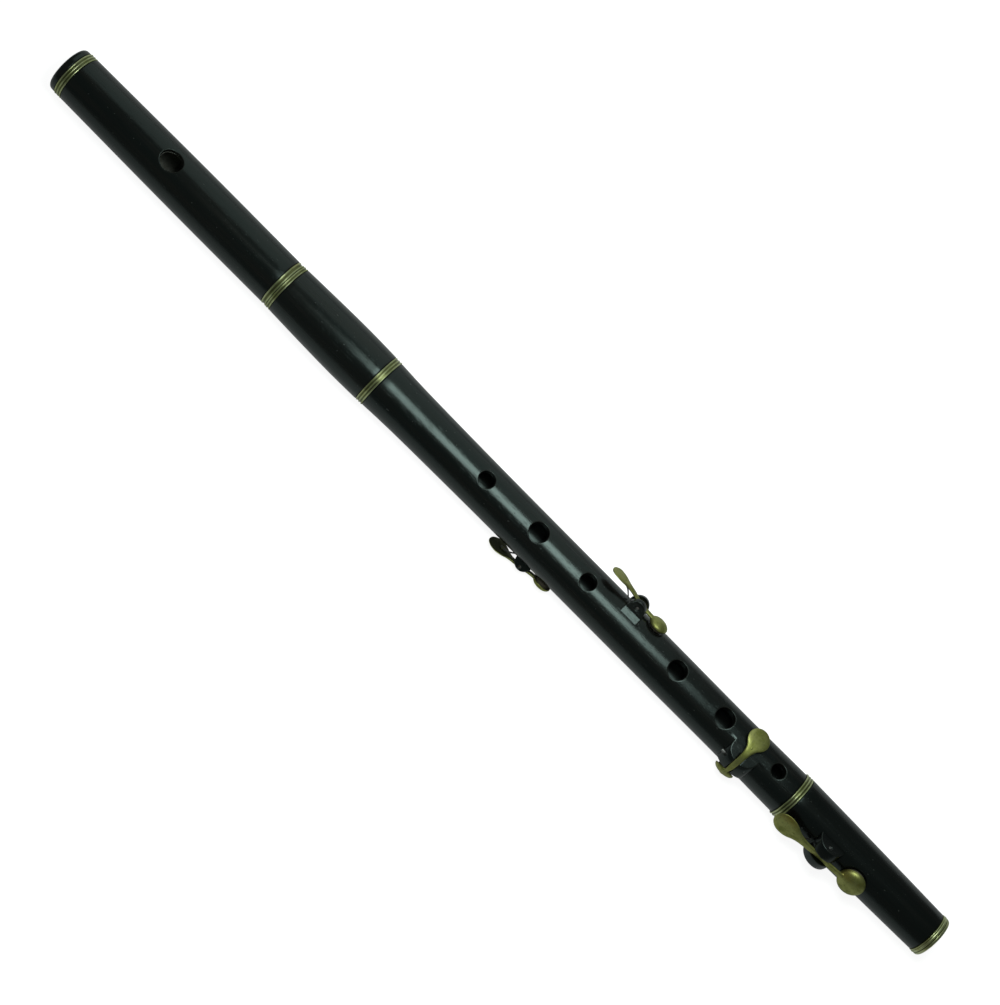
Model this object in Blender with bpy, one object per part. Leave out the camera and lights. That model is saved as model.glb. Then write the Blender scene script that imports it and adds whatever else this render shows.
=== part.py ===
"""A wooden concert flute in D with a conical bore and four brass keys hung on blocks left in the wood.

Metres, Z up. The flute lies along X with its cap at -X, its finger holes look up, and its widest ring of
wood rests at Z = 0. Every turned piece is turned about its own X axis.
"""

import math
from dataclasses import dataclass

import bmesh
import bpy
from mathutils import Matrix, Vector

MM = 0.001
TAU = math.tau

# Clearances
SEAM = 0.3 * MM  # between two pieces that meet on the real flute
PLAY = 0.12 * MM  # round a pin or a rivet, and between a spring and what it bears on

# Facets of round things
WOOD_FACETS = 28
RING_FACETS = 28
CUP_FACETS = 16
PIN_FACETS = 8

# Joints of the flute, each from shoulder to shoulder
CAP_LENGTH = 3.8 * MM
HEAD_LENGTH = 148.5 * MM
BARREL_LENGTH = 67.8 * MM
BODY_LENGTH = 285.0 * MM
FOOT_LENGTH = 101.0 * MM

# Outsides of the wood: distance from the joint's upper end, and radius there
CAP_RADIUS = 12.95 * MM
CAP_EDGE = 2.2 * MM
HEAD_TOP_RADIUS = 13.15 * MM
HEAD_SWELL = (84.7 * MM, 13.7 * MM)
HEAD_END_RADIUS = 13.6 * MM
BARREL_TOP_RADIUS = 13.7 * MM
BARREL_FLANK = (25.8 * MM, 14.35 * MM)
BARREL_SWELL = (46.5 * MM, 14.6 * MM)
BARREL_END_RADIUS = 14.25 * MM
BODY_TOP_RADIUS = 14.05 * MM
BODY_NECK = (12.7 * MM, 13.5 * MM)
BODY_SHOULDER = (32.7 * MM, 13.1 * MM)
BODY_UPPER = (82.6 * MM, 12.65 * MM)
BODY_MIDDLE = (192.6 * MM, 12.5 * MM)
BODY_WAIST = (242.6 * MM, 12.3 * MM)
BODY_END_RADIUS = 12.65 * MM
FOOT_TOP_RADIUS = 13.3 * MM
FOOT_UPPER = (42.2 * MM, 12.7 * MM)
FOOT_LOWER = (82.2 * MM, 12.0 * MM)
FOOT_END_RADIUS = 11.6 * MM

# Bores
HEAD_WOOD_BORE = 10.6 * MM
LINER_WALL = 0.5 * MM
SLIDE_WALL = 0.4 * MM
BODY_BORE_TOP = 9.0 * MM
BODY_BORE_END = 6.7 * MM
FOOT_BORE_TOP = 6.5 * MM
FOOT_BORE_END = 5.6 * MM

# Brass rings let into the ends of the joints
RING_WALL = 1.0 * MM
RING_STAND = 0.12 * MM
BEAD_HEIGHT = 0.4 * MM
HEAD_END_RING = 4.0 * MM
HEAD_LOWER_RING = 3.0 * MM
BARREL_UPPER_RING = 2.3 * MM
BARREL_SOCKET_RING = 4.0 * MM
FOOT_SOCKET_RING = 4.0 * MM
FOOT_END_RING = 4.4 * MM

# Tenons, their thread lapping and their sockets
UPPER_TENON_LENGTH = 23.5 * MM
UPPER_TENON_RADIUS = 11.3 * MM
LOWER_TENON_LENGTH = 20.5 * MM
LOWER_TENON_RADIUS = 9.3 * MM
TENON_CHAMFER = 0.5 * MM
LAPPING_DEPTH = 0.9 * MM
LAPPING_STAND = 0.3 * MM
LAPPING_MARGIN = 4.0 * MM
CAP_TENON_LENGTH = 8.0 * MM
CAP_LAPPING_MARGIN = 1.8 * MM

# Inside the head: the stopper, and the tube of the barrel that slides in the head's lining
STOPPER_LENGTH = 21.0 * MM
STOPPER_SETBACK = 19.0 * MM
SLIDE_OVERLAP = 42.0 * MM

# Blowing hole and finger holes: distance from the joint's upper end, size, and angle round the flute
BLOW_HOLE_AT = 0.4539 * HEAD_LENGTH
BLOW_HOLE_LENGTH = 12.3 * MM
BLOW_HOLE_WIDTH = 10.8 * MM
FINGER_HOLES = (
    (0.246 * BODY_LENGTH, 8.7 * MM, -1.5),
    (0.3733 * BODY_LENGTH, 10.3 * MM, -1.5),
    (0.4937 * BODY_LENGTH, 8.6 * MM, -1.5),
    (0.7098 * BODY_LENGTH, 10.1 * MM, 2.0),
    (0.8256 * BODY_LENGTH, 10.4 * MM, 2.0),
    (0.9554 * BODY_LENGTH, 7.7 * MM, 2.0),
)

# How far the keys' blocks reach into the wood they are left on
BLOCK_ROOT = 0.5 * MM
FACET_SINK = 0.15 * MM

# Brass of the keys
LUG_RADIUS = 1.5 * MM
PIN_RADIUS = 0.8 * MM
SLOT_PLAY = 0.3 * MM
CUP_LIP = 0.5 * MM
CUP_WALL = 0.7 * MM
PAD_PLAY = 0.55 * MM
PAD_SINK = 0.8 * MM
SEAT_MARGIN = 0.5 * MM
TOUCH_THICKNESS = 1.0 * MM
LEVER_THICKNESS = 1.6 * MM
SPRING_THICKNESS = 0.35 * MM
SPRING_HALF_WIDTH = 1.1 * MM
RIVET_RADIUS = 0.6 * MM
RIVET_HEAD = 0.2 * MM


@dataclass
class Key:
    """A key on its block. Distances run along the lever from the pin, the touch's side negative, and
    heights stand above the wood at the pin. Angles are degrees round the flute from the finger holes."""

    name: str
    angle: float
    pin_at: float
    pin_height: float
    block_half_length: float
    block_height: float
    block_sides: tuple
    facet_angle: float
    cup_at: float
    cup_radius: float
    rim_height: float
    dome_height: float
    hole_radius: float
    tip_at: float
    touch_at: float
    touch_half_width: float
    touch_taper: float
    neck_half_width: float
    lever_heights: tuple
    rivet_at: float
    spring_tip_at: float
    pin_stub: float = 0.0
    cross: bool = False


B_FLAT = Key(
    name="b_flat",
    angle=-130.0,
    pin_at=0.393 * BODY_LENGTH,
    pin_height=2.6 * MM,
    block_half_length=4.9 * MM,
    block_height=4.9 * MM,
    block_sides=(4.2 * MM, 4.2 * MM),
    facet_angle=0.0,
    cup_at=13.5 * MM,
    cup_radius=5.3 * MM,
    rim_height=1.4 * MM,
    dome_height=2.4 * MM,
    hole_radius=3.0 * MM,
    tip_at=-20.6 * MM,
    touch_at=-14.0 * MM,
    touch_half_width=5.3 * MM,
    touch_taper=7.0 * MM,
    neck_half_width=1.6 * MM,
    lever_heights=((-20.6 * MM, 4.6 * MM), (-14.0 * MM, 5.0 * MM), (-7.0 * MM, 4.6 * MM), (0.0, 3.8 * MM),
                   (6.0 * MM, 2.8 * MM), (13.5 * MM, 2.2 * MM)),
    rivet_at=-12.5 * MM,
    spring_tip_at=-5.8 * MM,
)
G_SHARP = Key(
    name="g_sharp",
    angle=46.0,
    pin_at=0.5853 * BODY_LENGTH,
    pin_height=2.35 * MM,
    block_half_length=5.2 * MM,
    block_height=5.6 * MM,
    block_sides=(4.7 * MM, 4.7 * MM),
    facet_angle=-42.0,
    cup_at=13.4 * MM,
    cup_radius=5.4 * MM,
    rim_height=1.4 * MM,
    dome_height=2.6 * MM,
    hole_radius=3.2 * MM,
    tip_at=-22.2 * MM,
    touch_at=-17.8 * MM,
    touch_half_width=4.65 * MM,
    touch_taper=7.5 * MM,
    neck_half_width=1.6 * MM,
    lever_heights=((-22.2 * MM, 6.5 * MM), (-17.8 * MM, 6.9 * MM), (-7.0 * MM, 5.2 * MM), (0.0, 4.2 * MM),
                   (5.5 * MM, 3.0 * MM), (13.4 * MM, 2.4 * MM)),
    rivet_at=-13.6 * MM,
    spring_tip_at=-6.2 * MM,
)
F_NATURAL = Key(
    name="f_natural",
    angle=-53.4,
    pin_at=0.8923 * BODY_LENGTH,
    pin_height=1.55 * MM,
    block_half_length=8.5 * MM,
    block_height=3.75 * MM,
    block_sides=(6.3 * MM, 0.0),
    facet_angle=48.4,
    cup_at=14.6 * MM,
    cup_radius=5.7 * MM,
    rim_height=1.4 * MM,
    dome_height=2.5 * MM,
    hole_radius=3.3 * MM,
    tip_at=-24.4 * MM,
    touch_at=-18.3 * MM,
    touch_half_width=6.05 * MM,
    touch_taper=6.1 * MM,
    neck_half_width=1.5 * MM,
    lever_heights=((-24.4 * MM, 4.4 * MM), (-18.3 * MM, 3.6 * MM), (-8.5 * MM, 3.6 * MM), (0.0, 3.6 * MM),
                   (8.0 * MM, 3.7 * MM), (14.6 * MM, 3.8 * MM)),
    rivet_at=-12.4 * MM,
    spring_tip_at=-6.4 * MM,
    pin_stub=0.9 * MM,
    cross=True,
)
D_SHARP = Key(
    name="d_sharp",
    angle=-58.0,
    pin_at=0.3015 * FOOT_LENGTH,
    pin_height=2.5 * MM,
    block_half_length=7.7 * MM,
    block_height=7.0 * MM,
    block_sides=(7.4 * MM, 7.4 * MM),
    facet_angle=0.0,
    cup_at=20.2 * MM,
    cup_radius=7.5 * MM,
    rim_height=0.8 * MM,
    dome_height=3.5 * MM,
    hole_radius=4.25 * MM,
    tip_at=-29.75 * MM,
    touch_at=-23.0 * MM,
    touch_half_width=6.3 * MM,
    touch_taper=8.5 * MM,
    neck_half_width=1.6 * MM,
    lever_heights=((-29.75 * MM, 5.6 * MM), (-23.0 * MM, 5.9 * MM), (-9.0 * MM, 5.5 * MM), (0.0, 5.1 * MM),
                   (9.0 * MM, 4.1 * MM), (20.2 * MM, 2.4 * MM)),
    rivet_at=-17.5 * MM,
    spring_tip_at=-8.8 * MM,
)


# Places along the flute, from the outer face of the cap
HEAD_AT = CAP_LENGTH + SEAM
BARREL_AT = HEAD_AT + HEAD_LENGTH + SEAM
BODY_AT = BARREL_AT + BARREL_LENGTH + SEAM
FOOT_AT = BODY_AT + BODY_LENGTH + SEAM
FLUTE_LENGTH = FOOT_AT + FOOT_LENGTH

# Fits that follow from the sizes above
LINER_BORE = HEAD_WOOD_BORE - SEAM - LINER_WALL
SLIDE_RADIUS = LINER_BORE - SEAM
SLIDE_WOOD_BORE = SLIDE_RADIUS + SEAM
UPPER_SOCKET_RADIUS = UPPER_TENON_RADIUS + LAPPING_STAND + SEAM
UPPER_SOCKET_DEPTH = UPPER_TENON_LENGTH + SEAM
LOWER_SOCKET_RADIUS = LOWER_TENON_RADIUS + LAPPING_STAND + SEAM
LOWER_SOCKET_DEPTH = LOWER_TENON_LENGTH + SEAM
CAP_TENON_RADIUS = HEAD_WOOD_BORE - SEAM - LAPPING_STAND
LINER_AT = CAP_TENON_LENGTH + SEAM

HEAD_CURVE = ((0.0, HEAD_TOP_RADIUS), HEAD_SWELL, (HEAD_LENGTH, HEAD_END_RADIUS))
BARREL_CURVE = ((0.0, BARREL_TOP_RADIUS), BARREL_FLANK, BARREL_SWELL, (BARREL_LENGTH, BARREL_END_RADIUS))
BODY_CURVE = (
    (0.0, BODY_TOP_RADIUS),
    BODY_NECK,
    BODY_SHOULDER,
    BODY_UPPER,
    BODY_MIDDLE,
    BODY_WAIST,
    (BODY_LENGTH, BODY_END_RADIUS),
)
FOOT_CURVE = ((0.0, FOOT_TOP_RADIUS), FOOT_UPPER, FOOT_LOWER, (FOOT_LENGTH, FOOT_END_RADIUS))


# Curves and outlines

def on_curve(points, at):
    """The height at a place on the smooth curve that runs through (place, height) points in order."""
    slopes = []
    for i in range(len(points)):
        before = points[max(i - 1, 0)]
        after = points[min(i + 1, len(points) - 1)]
        slopes.append((after[1] - before[1]) / (after[0] - before[0]))
    last = len(points) - 2
    span = next((i for i in range(last) if at < points[i + 1][0]), last)
    (x0, y0), (x1, y1) = points[span], points[span + 1]
    step = x1 - x0
    t = (at - x0) / step
    return (
        y0 * (1 + 2 * t) * (1 - t) ** 2
        + slopes[span] * step * t * (1 - t) ** 2
        + y1 * t * t * (3 - 2 * t)
        + slopes[span + 1] * step * t * t * (t - 1)
    )


def sampled(points, start, end, count):
    places = [start + (end - start) * i / count for i in range(count + 1)]
    return [(x, on_curve(points, x)) for x in places]


def quarter_round(x, radius, length, depth, count=3):
    """An ellipse's quarter from (x, radius) that falls by depth to the axis side over length."""
    arc = []
    for i in range(count + 1):
        a = TAU / 4 * i / count
        arc.append((x + length * math.sin(a), radius - depth * (1 - math.cos(a))))
    return arc


def ring_seat(curve, at):
    return on_curve(curve, at) - RING_WALL - SEAM


# Objects

def new_object(name, bm, material):
    bmesh.ops.remove_doubles(bm, verts=bm.verts, dist=0.001 * MM)
    bmesh.ops.recalc_face_normals(bm, faces=bm.faces)
    mesh = bpy.data.meshes.new(name)
    bm.to_mesh(mesh)
    bm.free()
    mesh.shade_smooth()
    mesh.set_sharp_from_angle(angle=math.radians(35))
    obj = bpy.data.objects.new(name, mesh)
    bpy.context.scene.collection.objects.link(obj)
    if material:
        mesh.materials.append(material)
    return obj


def turned(name, outline, material, facets=WOOD_FACETS):
    """A piece turned about X from an outline of (x, radius) points, which closes unless it ends on X. Its
    facets lie flat at the top and the bottom."""
    bm = bmesh.new()
    across, up = math.sin(TAU / 2 / facets), math.cos(TAU / 2 / facets)
    verts = [bm.verts.new((x, radius * across, radius * up)) for x, radius in outline]
    edges = [bm.edges.new(pair) for pair in zip(verts, verts[1:])]
    if outline[0][1] > 0:
        edges.append(bm.edges.new((verts[-1], verts[0])))
    bmesh.ops.spin(
        bm, geom=verts + edges, cent=(0, 0, 0), axis=(1, 0, 0), angle=TAU, steps=facets, use_merge=True
    )
    return new_object(name, bm, material)


def lofted(name, sections, material):
    """A solid skinned over sections that all have the same number of points."""
    bm = bmesh.new()
    rings = [[bm.verts.new(point) for point in section] for section in sections]
    for ring, after in zip(rings, rings[1:]):
        for i in range(len(ring)):
            j = (i + 1) % len(ring)
            bm.faces.new((ring[i], ring[j], after[j], after[i]))
    bm.faces.new(rings[0])
    bm.faces.new(rings[-1])
    return new_object(name, bm, material)


def prism(name, polygon, low, high):
    """A cutter whose outline of (y, z) points runs along X."""
    sections = [[Vector((x, y, z)) for y, z in polygon] for x in (low, high)]
    return lofted(name, sections, None)


def place(obj, parent, x=0.0, y=0.0, z=0.0, turn=None):
    obj.parent = parent
    obj.location = (x, y, z)
    if turn:
        obj.rotation_euler = turn.to_euler()
    return obj


def helper(obj):
    obj.hide_render = True
    obj.display_type = "WIRE"
    return obj


def combine(obj, tool, operation):
    modifier = obj.modifiers.new(tool.name, "BOOLEAN")
    modifier.operation = operation
    modifier.object = helper(tool)


def turn_to(x, z):
    """The turn about Y that brings a turned piece's axis onto the direction (x, 0, z)."""
    return Matrix.Rotation(math.atan2(-z, x), 3, "Y")


def radial_turn(angle):
    """The turn that stands a turned piece out of the flute at an angle round it."""
    return Matrix.Rotation(-math.radians(angle), 3, "X") @ turn_to(0.0, 1.0)


# Materials

def finish(name, colour, roughness, metallic=0.0):
    material = bpy.data.materials.new(name)
    material.use_nodes = True
    shader = material.node_tree.nodes["Principled BSDF"]
    shader.inputs["Base Color"].default_value = (*colour, 1.0)
    shader.inputs["Roughness"].default_value = roughness
    shader.inputs["Metallic"].default_value = metallic
    return material


# Turned joints

def ring(name, length, start_radius, end_radius, beads, brass):
    """A brass ring with turned beads, between two radii of the wood, and its bore clear of its seat."""
    steps = 3 * beads
    outline = []
    for i in range(steps + 1):
        radius = start_radius + (end_radius - start_radius) * i / steps + RING_STAND
        swell = abs(math.sin(math.pi * i / 3))
        outline.append((length * i / steps, radius - BEAD_HEIGHT * (1 - swell)))
    bore = min(start_radius, end_radius) - RING_WALL
    outline += [(length, bore), (0.0, bore)]
    return turned(name, outline, brass, RING_FACETS)


def end_ring(name, length, start_radius, end_radius, brass):
    """The ring of the foot's end: a bead, a groove and a rounded lip."""
    crest = start_radius + 3 * RING_STAND
    outline = [(0.0, crest - BEAD_HEIGHT), (0.25 * length, crest), (0.5 * length, crest)]
    outline += [(0.62 * length, crest - BEAD_HEIGHT)]
    outline += quarter_round(0.62 * length, crest - BEAD_HEIGHT / 2, 0.38 * length, 2 * BEAD_HEIGHT)[1:]
    bore = end_radius - RING_WALL
    outline += [(length, bore), (0.0, bore)]
    return turned(name, outline, brass, RING_FACETS)


def lapping(name, start, end, tenon_radius, thread):
    low = tenon_radius - LAPPING_DEPTH + SEAM
    high = tenon_radius + LAPPING_STAND
    return turned(name, [(start, high), (end, high), (end, low), (start, low)], thread, RING_FACETS)


def tenon_outline(shoulder, end, radius, margin):
    """A tenon from its shoulder to its end, with the sunk band that its lapping fills."""
    way = 1 if end > shoulder else -1
    near, far = shoulder + way * margin, end - way * margin
    sunk = radius - LAPPING_DEPTH
    return [
        (shoulder, radius),
        (near, radius),
        (near, sunk),
        (far, sunk),
        (far, radius),
        (end - way * TENON_CHAMFER, radius),
        (end, radius - TENON_CHAMFER),
    ]


def lapping_ends(shoulder, end, margin):
    ends = sorted((shoulder, end))
    return ends[0] + margin + SEAM, ends[1] - margin - SEAM


def make_cap(flute, wood, thread):
    tenon_end = CAP_LENGTH + CAP_TENON_LENGTH
    edge = quarter_round(-CAP_EDGE, CAP_RADIUS, CAP_EDGE, 0.75 * CAP_EDGE)
    outline = [(0.0, 0.0)] + [(-x, radius) for x, radius in reversed(edge)] + [(CAP_LENGTH, CAP_RADIUS)]
    outline += tenon_outline(CAP_LENGTH, tenon_end, CAP_TENON_RADIUS, CAP_LAPPING_MARGIN)
    outline += [(tenon_end, 0.0)]
    place(turned("end_cap", outline, wood), flute)
    start, end = lapping_ends(CAP_LENGTH, tenon_end, CAP_LAPPING_MARGIN)
    place(lapping("end_cap_lapping", start, end, CAP_TENON_RADIUS, thread), flute)


def blow_hole(name):
    """The cutter of the blowing hole: an oval that looks up through the head's upper wall."""
    tool = turned(name, [(0.0, 0.0), (0.0, 0.5), (1.0, 0.5), (1.0, 0.0)], None)
    stretch = Matrix.Diagonal((HEAD_SWELL[1] + SEAM, BLOW_HOLE_WIDTH, BLOW_HOLE_LENGTH, 1.0))
    tool.data.transform(stretch)
    return tool


def make_head(flute, wood, brass, cork):
    ring_in = HEAD_END_RING + SEAM
    ring_out = HEAD_LENGTH - HEAD_LOWER_RING - SEAM
    top_seat = ring_seat(HEAD_CURVE, 0.0)
    low_seat = ring_seat(HEAD_CURVE, HEAD_LENGTH)
    outline = [(0.0, top_seat), (ring_in, top_seat)]
    outline += sampled(HEAD_CURVE, ring_in, ring_out, 6)
    outline += [(ring_out, low_seat), (HEAD_LENGTH, low_seat)]
    outline += [(HEAD_LENGTH, HEAD_WOOD_BORE), (0.0, HEAD_WOOD_BORE)]
    head = place(turned("head_joint", outline, wood), flute, HEAD_AT)
    top = on_curve(HEAD_CURVE, 0.0)
    under_ring = on_curve(HEAD_CURVE, HEAD_END_RING)
    place(ring("head_end_ring", HEAD_END_RING, top, under_ring, 2, brass), flute, HEAD_AT)
    end_ring_at = HEAD_LENGTH - HEAD_LOWER_RING
    over_ring = on_curve(HEAD_CURVE, end_ring_at)
    lower = ring("head_lower_ring", HEAD_LOWER_RING, over_ring, HEAD_END_RADIUS, 1, brass)
    place(lower, flute, HEAD_AT + end_ring_at)
    outer, inner = HEAD_WOOD_BORE - SEAM, LINER_BORE
    tube = [(LINER_AT, outer), (HEAD_LENGTH, outer), (HEAD_LENGTH, inner), (LINER_AT, inner)]
    liner = place(turned("head_liner", tube, brass, RING_FACETS), flute, HEAD_AT)
    for wall in (head, liner):
        tool = blow_hole(wall.name + "_blow_hole")
        place(tool, flute, HEAD_AT + BLOW_HOLE_AT, turn=radial_turn(0.0))
        combine(wall, tool, "DIFFERENCE")
    face = BLOW_HOLE_AT - STOPPER_SETBACK
    plug = LINER_BORE - SEAM
    solid = [(face - STOPPER_LENGTH, 0.0), (face - STOPPER_LENGTH, plug), (face, plug), (face, 0.0)]
    place(turned("stopper_cork", solid, cork, RING_FACETS), flute, HEAD_AT)


def make_barrel(flute, wood, brass):
    ring_in = BARREL_UPPER_RING + SEAM
    ring_out = BARREL_LENGTH - BARREL_SOCKET_RING - SEAM
    top_seat = ring_seat(BARREL_CURVE, 0.0)
    low_seat = ring_seat(BARREL_CURVE, BARREL_LENGTH)
    socket = BARREL_LENGTH - UPPER_SOCKET_DEPTH
    outline = [(0.0, top_seat), (ring_in, top_seat)]
    outline += sampled(BARREL_CURVE, ring_in, ring_out, 6)
    outline += [(ring_out, low_seat), (BARREL_LENGTH, low_seat)]
    outline += [(BARREL_LENGTH, UPPER_SOCKET_RADIUS), (socket, UPPER_SOCKET_RADIUS)]
    outline += [(socket, SLIDE_WOOD_BORE), (0.0, SLIDE_WOOD_BORE)]
    place(turned("barrel", outline, wood), flute, BARREL_AT)
    under = on_curve(BARREL_CURVE, BARREL_UPPER_RING)
    upper = ring("barrel_upper_ring", BARREL_UPPER_RING, BARREL_TOP_RADIUS, under, 2, brass)
    place(upper, flute, BARREL_AT)
    at = BARREL_LENGTH - BARREL_SOCKET_RING
    over = on_curve(BARREL_CURVE, at)
    lower = ring("barrel_socket_ring", BARREL_SOCKET_RING, over, BARREL_END_RADIUS, 3, brass)
    place(lower, flute, BARREL_AT + at)
    start, end = -SLIDE_OVERLAP, socket - SEAM
    bore = SLIDE_RADIUS - SLIDE_WALL
    tube = [(start, SLIDE_RADIUS), (end, SLIDE_RADIUS), (end, bore), (start, bore)]
    place(turned("tuning_slide_tube", tube, brass, RING_FACETS), flute, BARREL_AT)


def make_body(flute, wood, thread):
    lower_end = BODY_LENGTH + LOWER_TENON_LENGTH
    upper = tenon_outline(0.0, -UPPER_TENON_LENGTH, UPPER_TENON_RADIUS, LAPPING_MARGIN)
    lower = tenon_outline(BODY_LENGTH, lower_end, LOWER_TENON_RADIUS, LAPPING_MARGIN)
    outline = list(reversed(upper)) + sampled(BODY_CURVE, 0.0, BODY_LENGTH, 10) + lower
    outline += [(lower_end, BODY_BORE_END), (-UPPER_TENON_LENGTH, BODY_BORE_TOP)]
    body = place(turned("body_joint", outline, wood), flute, BODY_AT)
    start, end = lapping_ends(0.0, -UPPER_TENON_LENGTH, LAPPING_MARGIN)
    place(lapping("upper_tenon_lapping", start, end, UPPER_TENON_RADIUS, thread), flute, BODY_AT)
    start, end = lapping_ends(BODY_LENGTH, lower_end, LAPPING_MARGIN)
    place(lapping("lower_tenon_lapping", start, end, LOWER_TENON_RADIUS, thread), flute, BODY_AT)
    return body


def make_finger_holes(flute, body):
    for number, (at, width, angle) in enumerate(FINGER_HOLES, 1):
        top = on_curve(BODY_CURVE, at) + SEAM
        drill = [(0.0, 0.0), (0.0, width / 2), (top, width / 2), (top, 0.0)]
        tool = turned(f"finger_hole_{number}", drill, None, CUP_FACETS)
        place(tool, flute, BODY_AT + at, turn=radial_turn(angle))
        combine(body, tool, "DIFFERENCE")


def make_foot(flute, wood, brass):
    ring_in = FOOT_SOCKET_RING + SEAM
    ring_out = FOOT_LENGTH - FOOT_END_RING - SEAM
    top_seat = ring_seat(FOOT_CURVE, FOOT_SOCKET_RING)
    low_seat = ring_seat(FOOT_CURVE, FOOT_LENGTH)
    outline = [(0.0, top_seat), (ring_in, top_seat)]
    outline += sampled(FOOT_CURVE, ring_in, ring_out, 6)
    outline += [(ring_out, low_seat), (FOOT_LENGTH, low_seat), (FOOT_LENGTH, FOOT_BORE_END)]
    outline += [(LOWER_SOCKET_DEPTH, FOOT_BORE_TOP), (LOWER_SOCKET_DEPTH, LOWER_SOCKET_RADIUS)]
    outline += [(0.0, LOWER_SOCKET_RADIUS)]
    foot = place(turned("foot_joint", outline, wood), flute, FOOT_AT)
    under = on_curve(FOOT_CURVE, FOOT_SOCKET_RING)
    upper = ring("foot_socket_ring", FOOT_SOCKET_RING, FOOT_TOP_RADIUS, under, 3, brass)
    place(upper, flute, FOOT_AT)
    at = FOOT_LENGTH - FOOT_END_RING
    over = on_curve(FOOT_CURVE, at)
    place(end_ring("foot_end_ring", FOOT_END_RING, over, FOOT_END_RADIUS, brass), flute, FOOT_AT + at)
    return foot


# Blocks and keys

def cut_block(key, line, joint, radius):
    """Leaves the key's block on its joint: a bead turned round the wood, cut away outside the outline."""
    crest = []
    for i in range(9):
        a = TAU / 2 * i / 8
        rise = (key.block_height + BLOCK_ROOT) * math.sin(a) - BLOCK_ROOT
        crest.append((-key.block_half_length * math.cos(a), radius + rise))
    root = radius - 3 * BLOCK_ROOT
    bead = turned(
        f"{key.name}_block", crest + [(key.block_half_length, root), (-key.block_half_length, root)], None
    )
    low_side, high_side = key.block_sides
    clear = radius + key.block_height + MM
    inside = 0.5 * radius
    outline = [(-low_side, inside), (-low_side, clear), (high_side, clear), (high_side, inside)]
    if key.facet_angle:
        a = math.radians(key.facet_angle)
        side = math.copysign(1.0, a)
        cheek, far_cheek = (low_side, high_side) if side < 0 else (high_side, low_side)
        sunk = radius - FACET_SINK
        touch = (sunk * math.sin(a), sunk * math.cos(a))
        foot = (side * cheek, (sunk - side * cheek * math.sin(a)) / math.cos(a))
        if foot[1] > clear:
            corner = [((sunk - clear * math.cos(a)) / math.sin(a), clear)]
        else:
            corner = [(side * cheek, clear), foot]
        outline = [(-side * far_cheek, inside), (-side * far_cheek, clear)]
        past = (touch[0] + side * MM * math.cos(a), touch[1] - side * MM * math.sin(a))
        outline += corner + [past, (0.6 * past[0], 0.6 * past[1])]
    keep = prism(f"{key.name}_block_outline", outline, -2 * key.block_half_length, 2 * key.block_half_length)
    place(helper(keep), line)
    combine(bead, keep, "INTERSECT")
    combine(joint, place(bead, line), "UNION")


def lever_point(key, radius, at):
    """The middle of the lever at a distance along it, and the way out of the wood there, about the pin."""
    height = radius + on_curve(key.lever_heights, at)
    pin = radius + key.pin_height
    if not key.cross:
        return Vector((at, 0.0, height - pin)), Vector((0.0, 0.0, 1.0))
    a = at / (radius + key.lever_heights[1][1])
    up = Vector((math.sin(a), 0.0, math.cos(a)))
    return up * height - Vector((0.0, 0.0, pin)), up


def half_width(key, at):
    """Half the lever's width: a rounded touch that draws in to the neck."""
    out = at - key.touch_at
    if out < 0:
        return key.touch_half_width * math.sqrt(max(1 - (out / (key.tip_at - key.touch_at)) ** 2, 0.0))
    leave = 0.7 * key.touch_taper
    if out < leave:
        return key.touch_half_width * math.sqrt(1 - (out / key.touch_taper) ** 2)
    width = key.touch_half_width * math.sqrt(1 - 0.7**2)
    slope = (key.touch_half_width / key.touch_taper) ** 2 * leave / width
    spare = width - key.neck_half_width
    return key.neck_half_width + spare * math.exp(-(out - leave) * slope / spare)


def lever_section(key, radius, at):
    middle, up = lever_point(key, radius, at)
    width = half_width(key, at)
    share = min(max((at - key.touch_at) / (0.6 * -key.touch_at), 0.0), 1.0)
    thick = TOUCH_THICKNESS + (LEVER_THICKNESS - TOUCH_THICKNESS) * share
    corners = ((0.75, -0.5), (1.0, -0.2), (1.0, 0.15), (0.6, 0.5))
    shape = [(side, rise) for side, rise in corners] + [(-side, rise) for side, rise in reversed(corners)]
    return [middle + up * (rise * thick) + Vector((0.0, side * width, 0.0)) for side, rise in shape]


def lever_stations(key):
    tip = key.touch_at - key.tip_at
    round_end = [key.touch_at - tip * math.cos(TAU / 4 * share) for share in (0.08, 0.24, 0.43, 0.66, 1)]
    taper = [key.touch_at + key.touch_taper * share for share in (0.35, 0.65, 0.95, 1.3)]
    start = taper[-1]
    shank = [start + (key.cup_at - start) * i / 6 for i in range(1, 7)]
    return round_end + taper + shank


def up_angle(key, radius):
    """The way that the cup looks out of the wood, seen about the pin, and a point on the flute's axis."""
    pin = radius + key.pin_height
    up = lever_point(key, radius, key.cup_at)[1]
    foot = 0.0 if key.cross else key.cup_at
    return up, Vector((foot, 0.0, -pin))


def cup_forms(key, radius):
    """The outside of the cup and the hollow that its pad fills, as heights from the flute's axis."""
    rim = radius + key.rim_height
    lip = rim + CUP_LIP
    dome = []
    for i in range(5):
        a = TAU / 4 * i / 4
        dome.append((lip + key.dome_height * math.sin(a), key.cup_radius * math.cos(a)))
    outside = [(rim, 0.0), (rim, key.cup_radius)] + dome[:-1] + [(dome[-1][0], 0.0)]
    inner = key.cup_radius - CUP_WALL
    depth = CUP_LIP + key.dome_height - CUP_WALL
    hollow = [(rim - MM, 0.0), (rim - MM, inner)]
    for i in range(3):
        a = TAU / 4 * i / 3
        hollow.append((rim + depth * math.sin(a), inner * math.cos(a)))
    hollow.append((rim + depth, 0.0))
    return outside, hollow


def seat_height(key, radius):
    """The flat floor that the pad closes on, just inside the curve of the wood."""
    seat = pad_radius(key) + SEAT_MARGIN
    return math.sqrt(radius**2 - seat**2)


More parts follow.
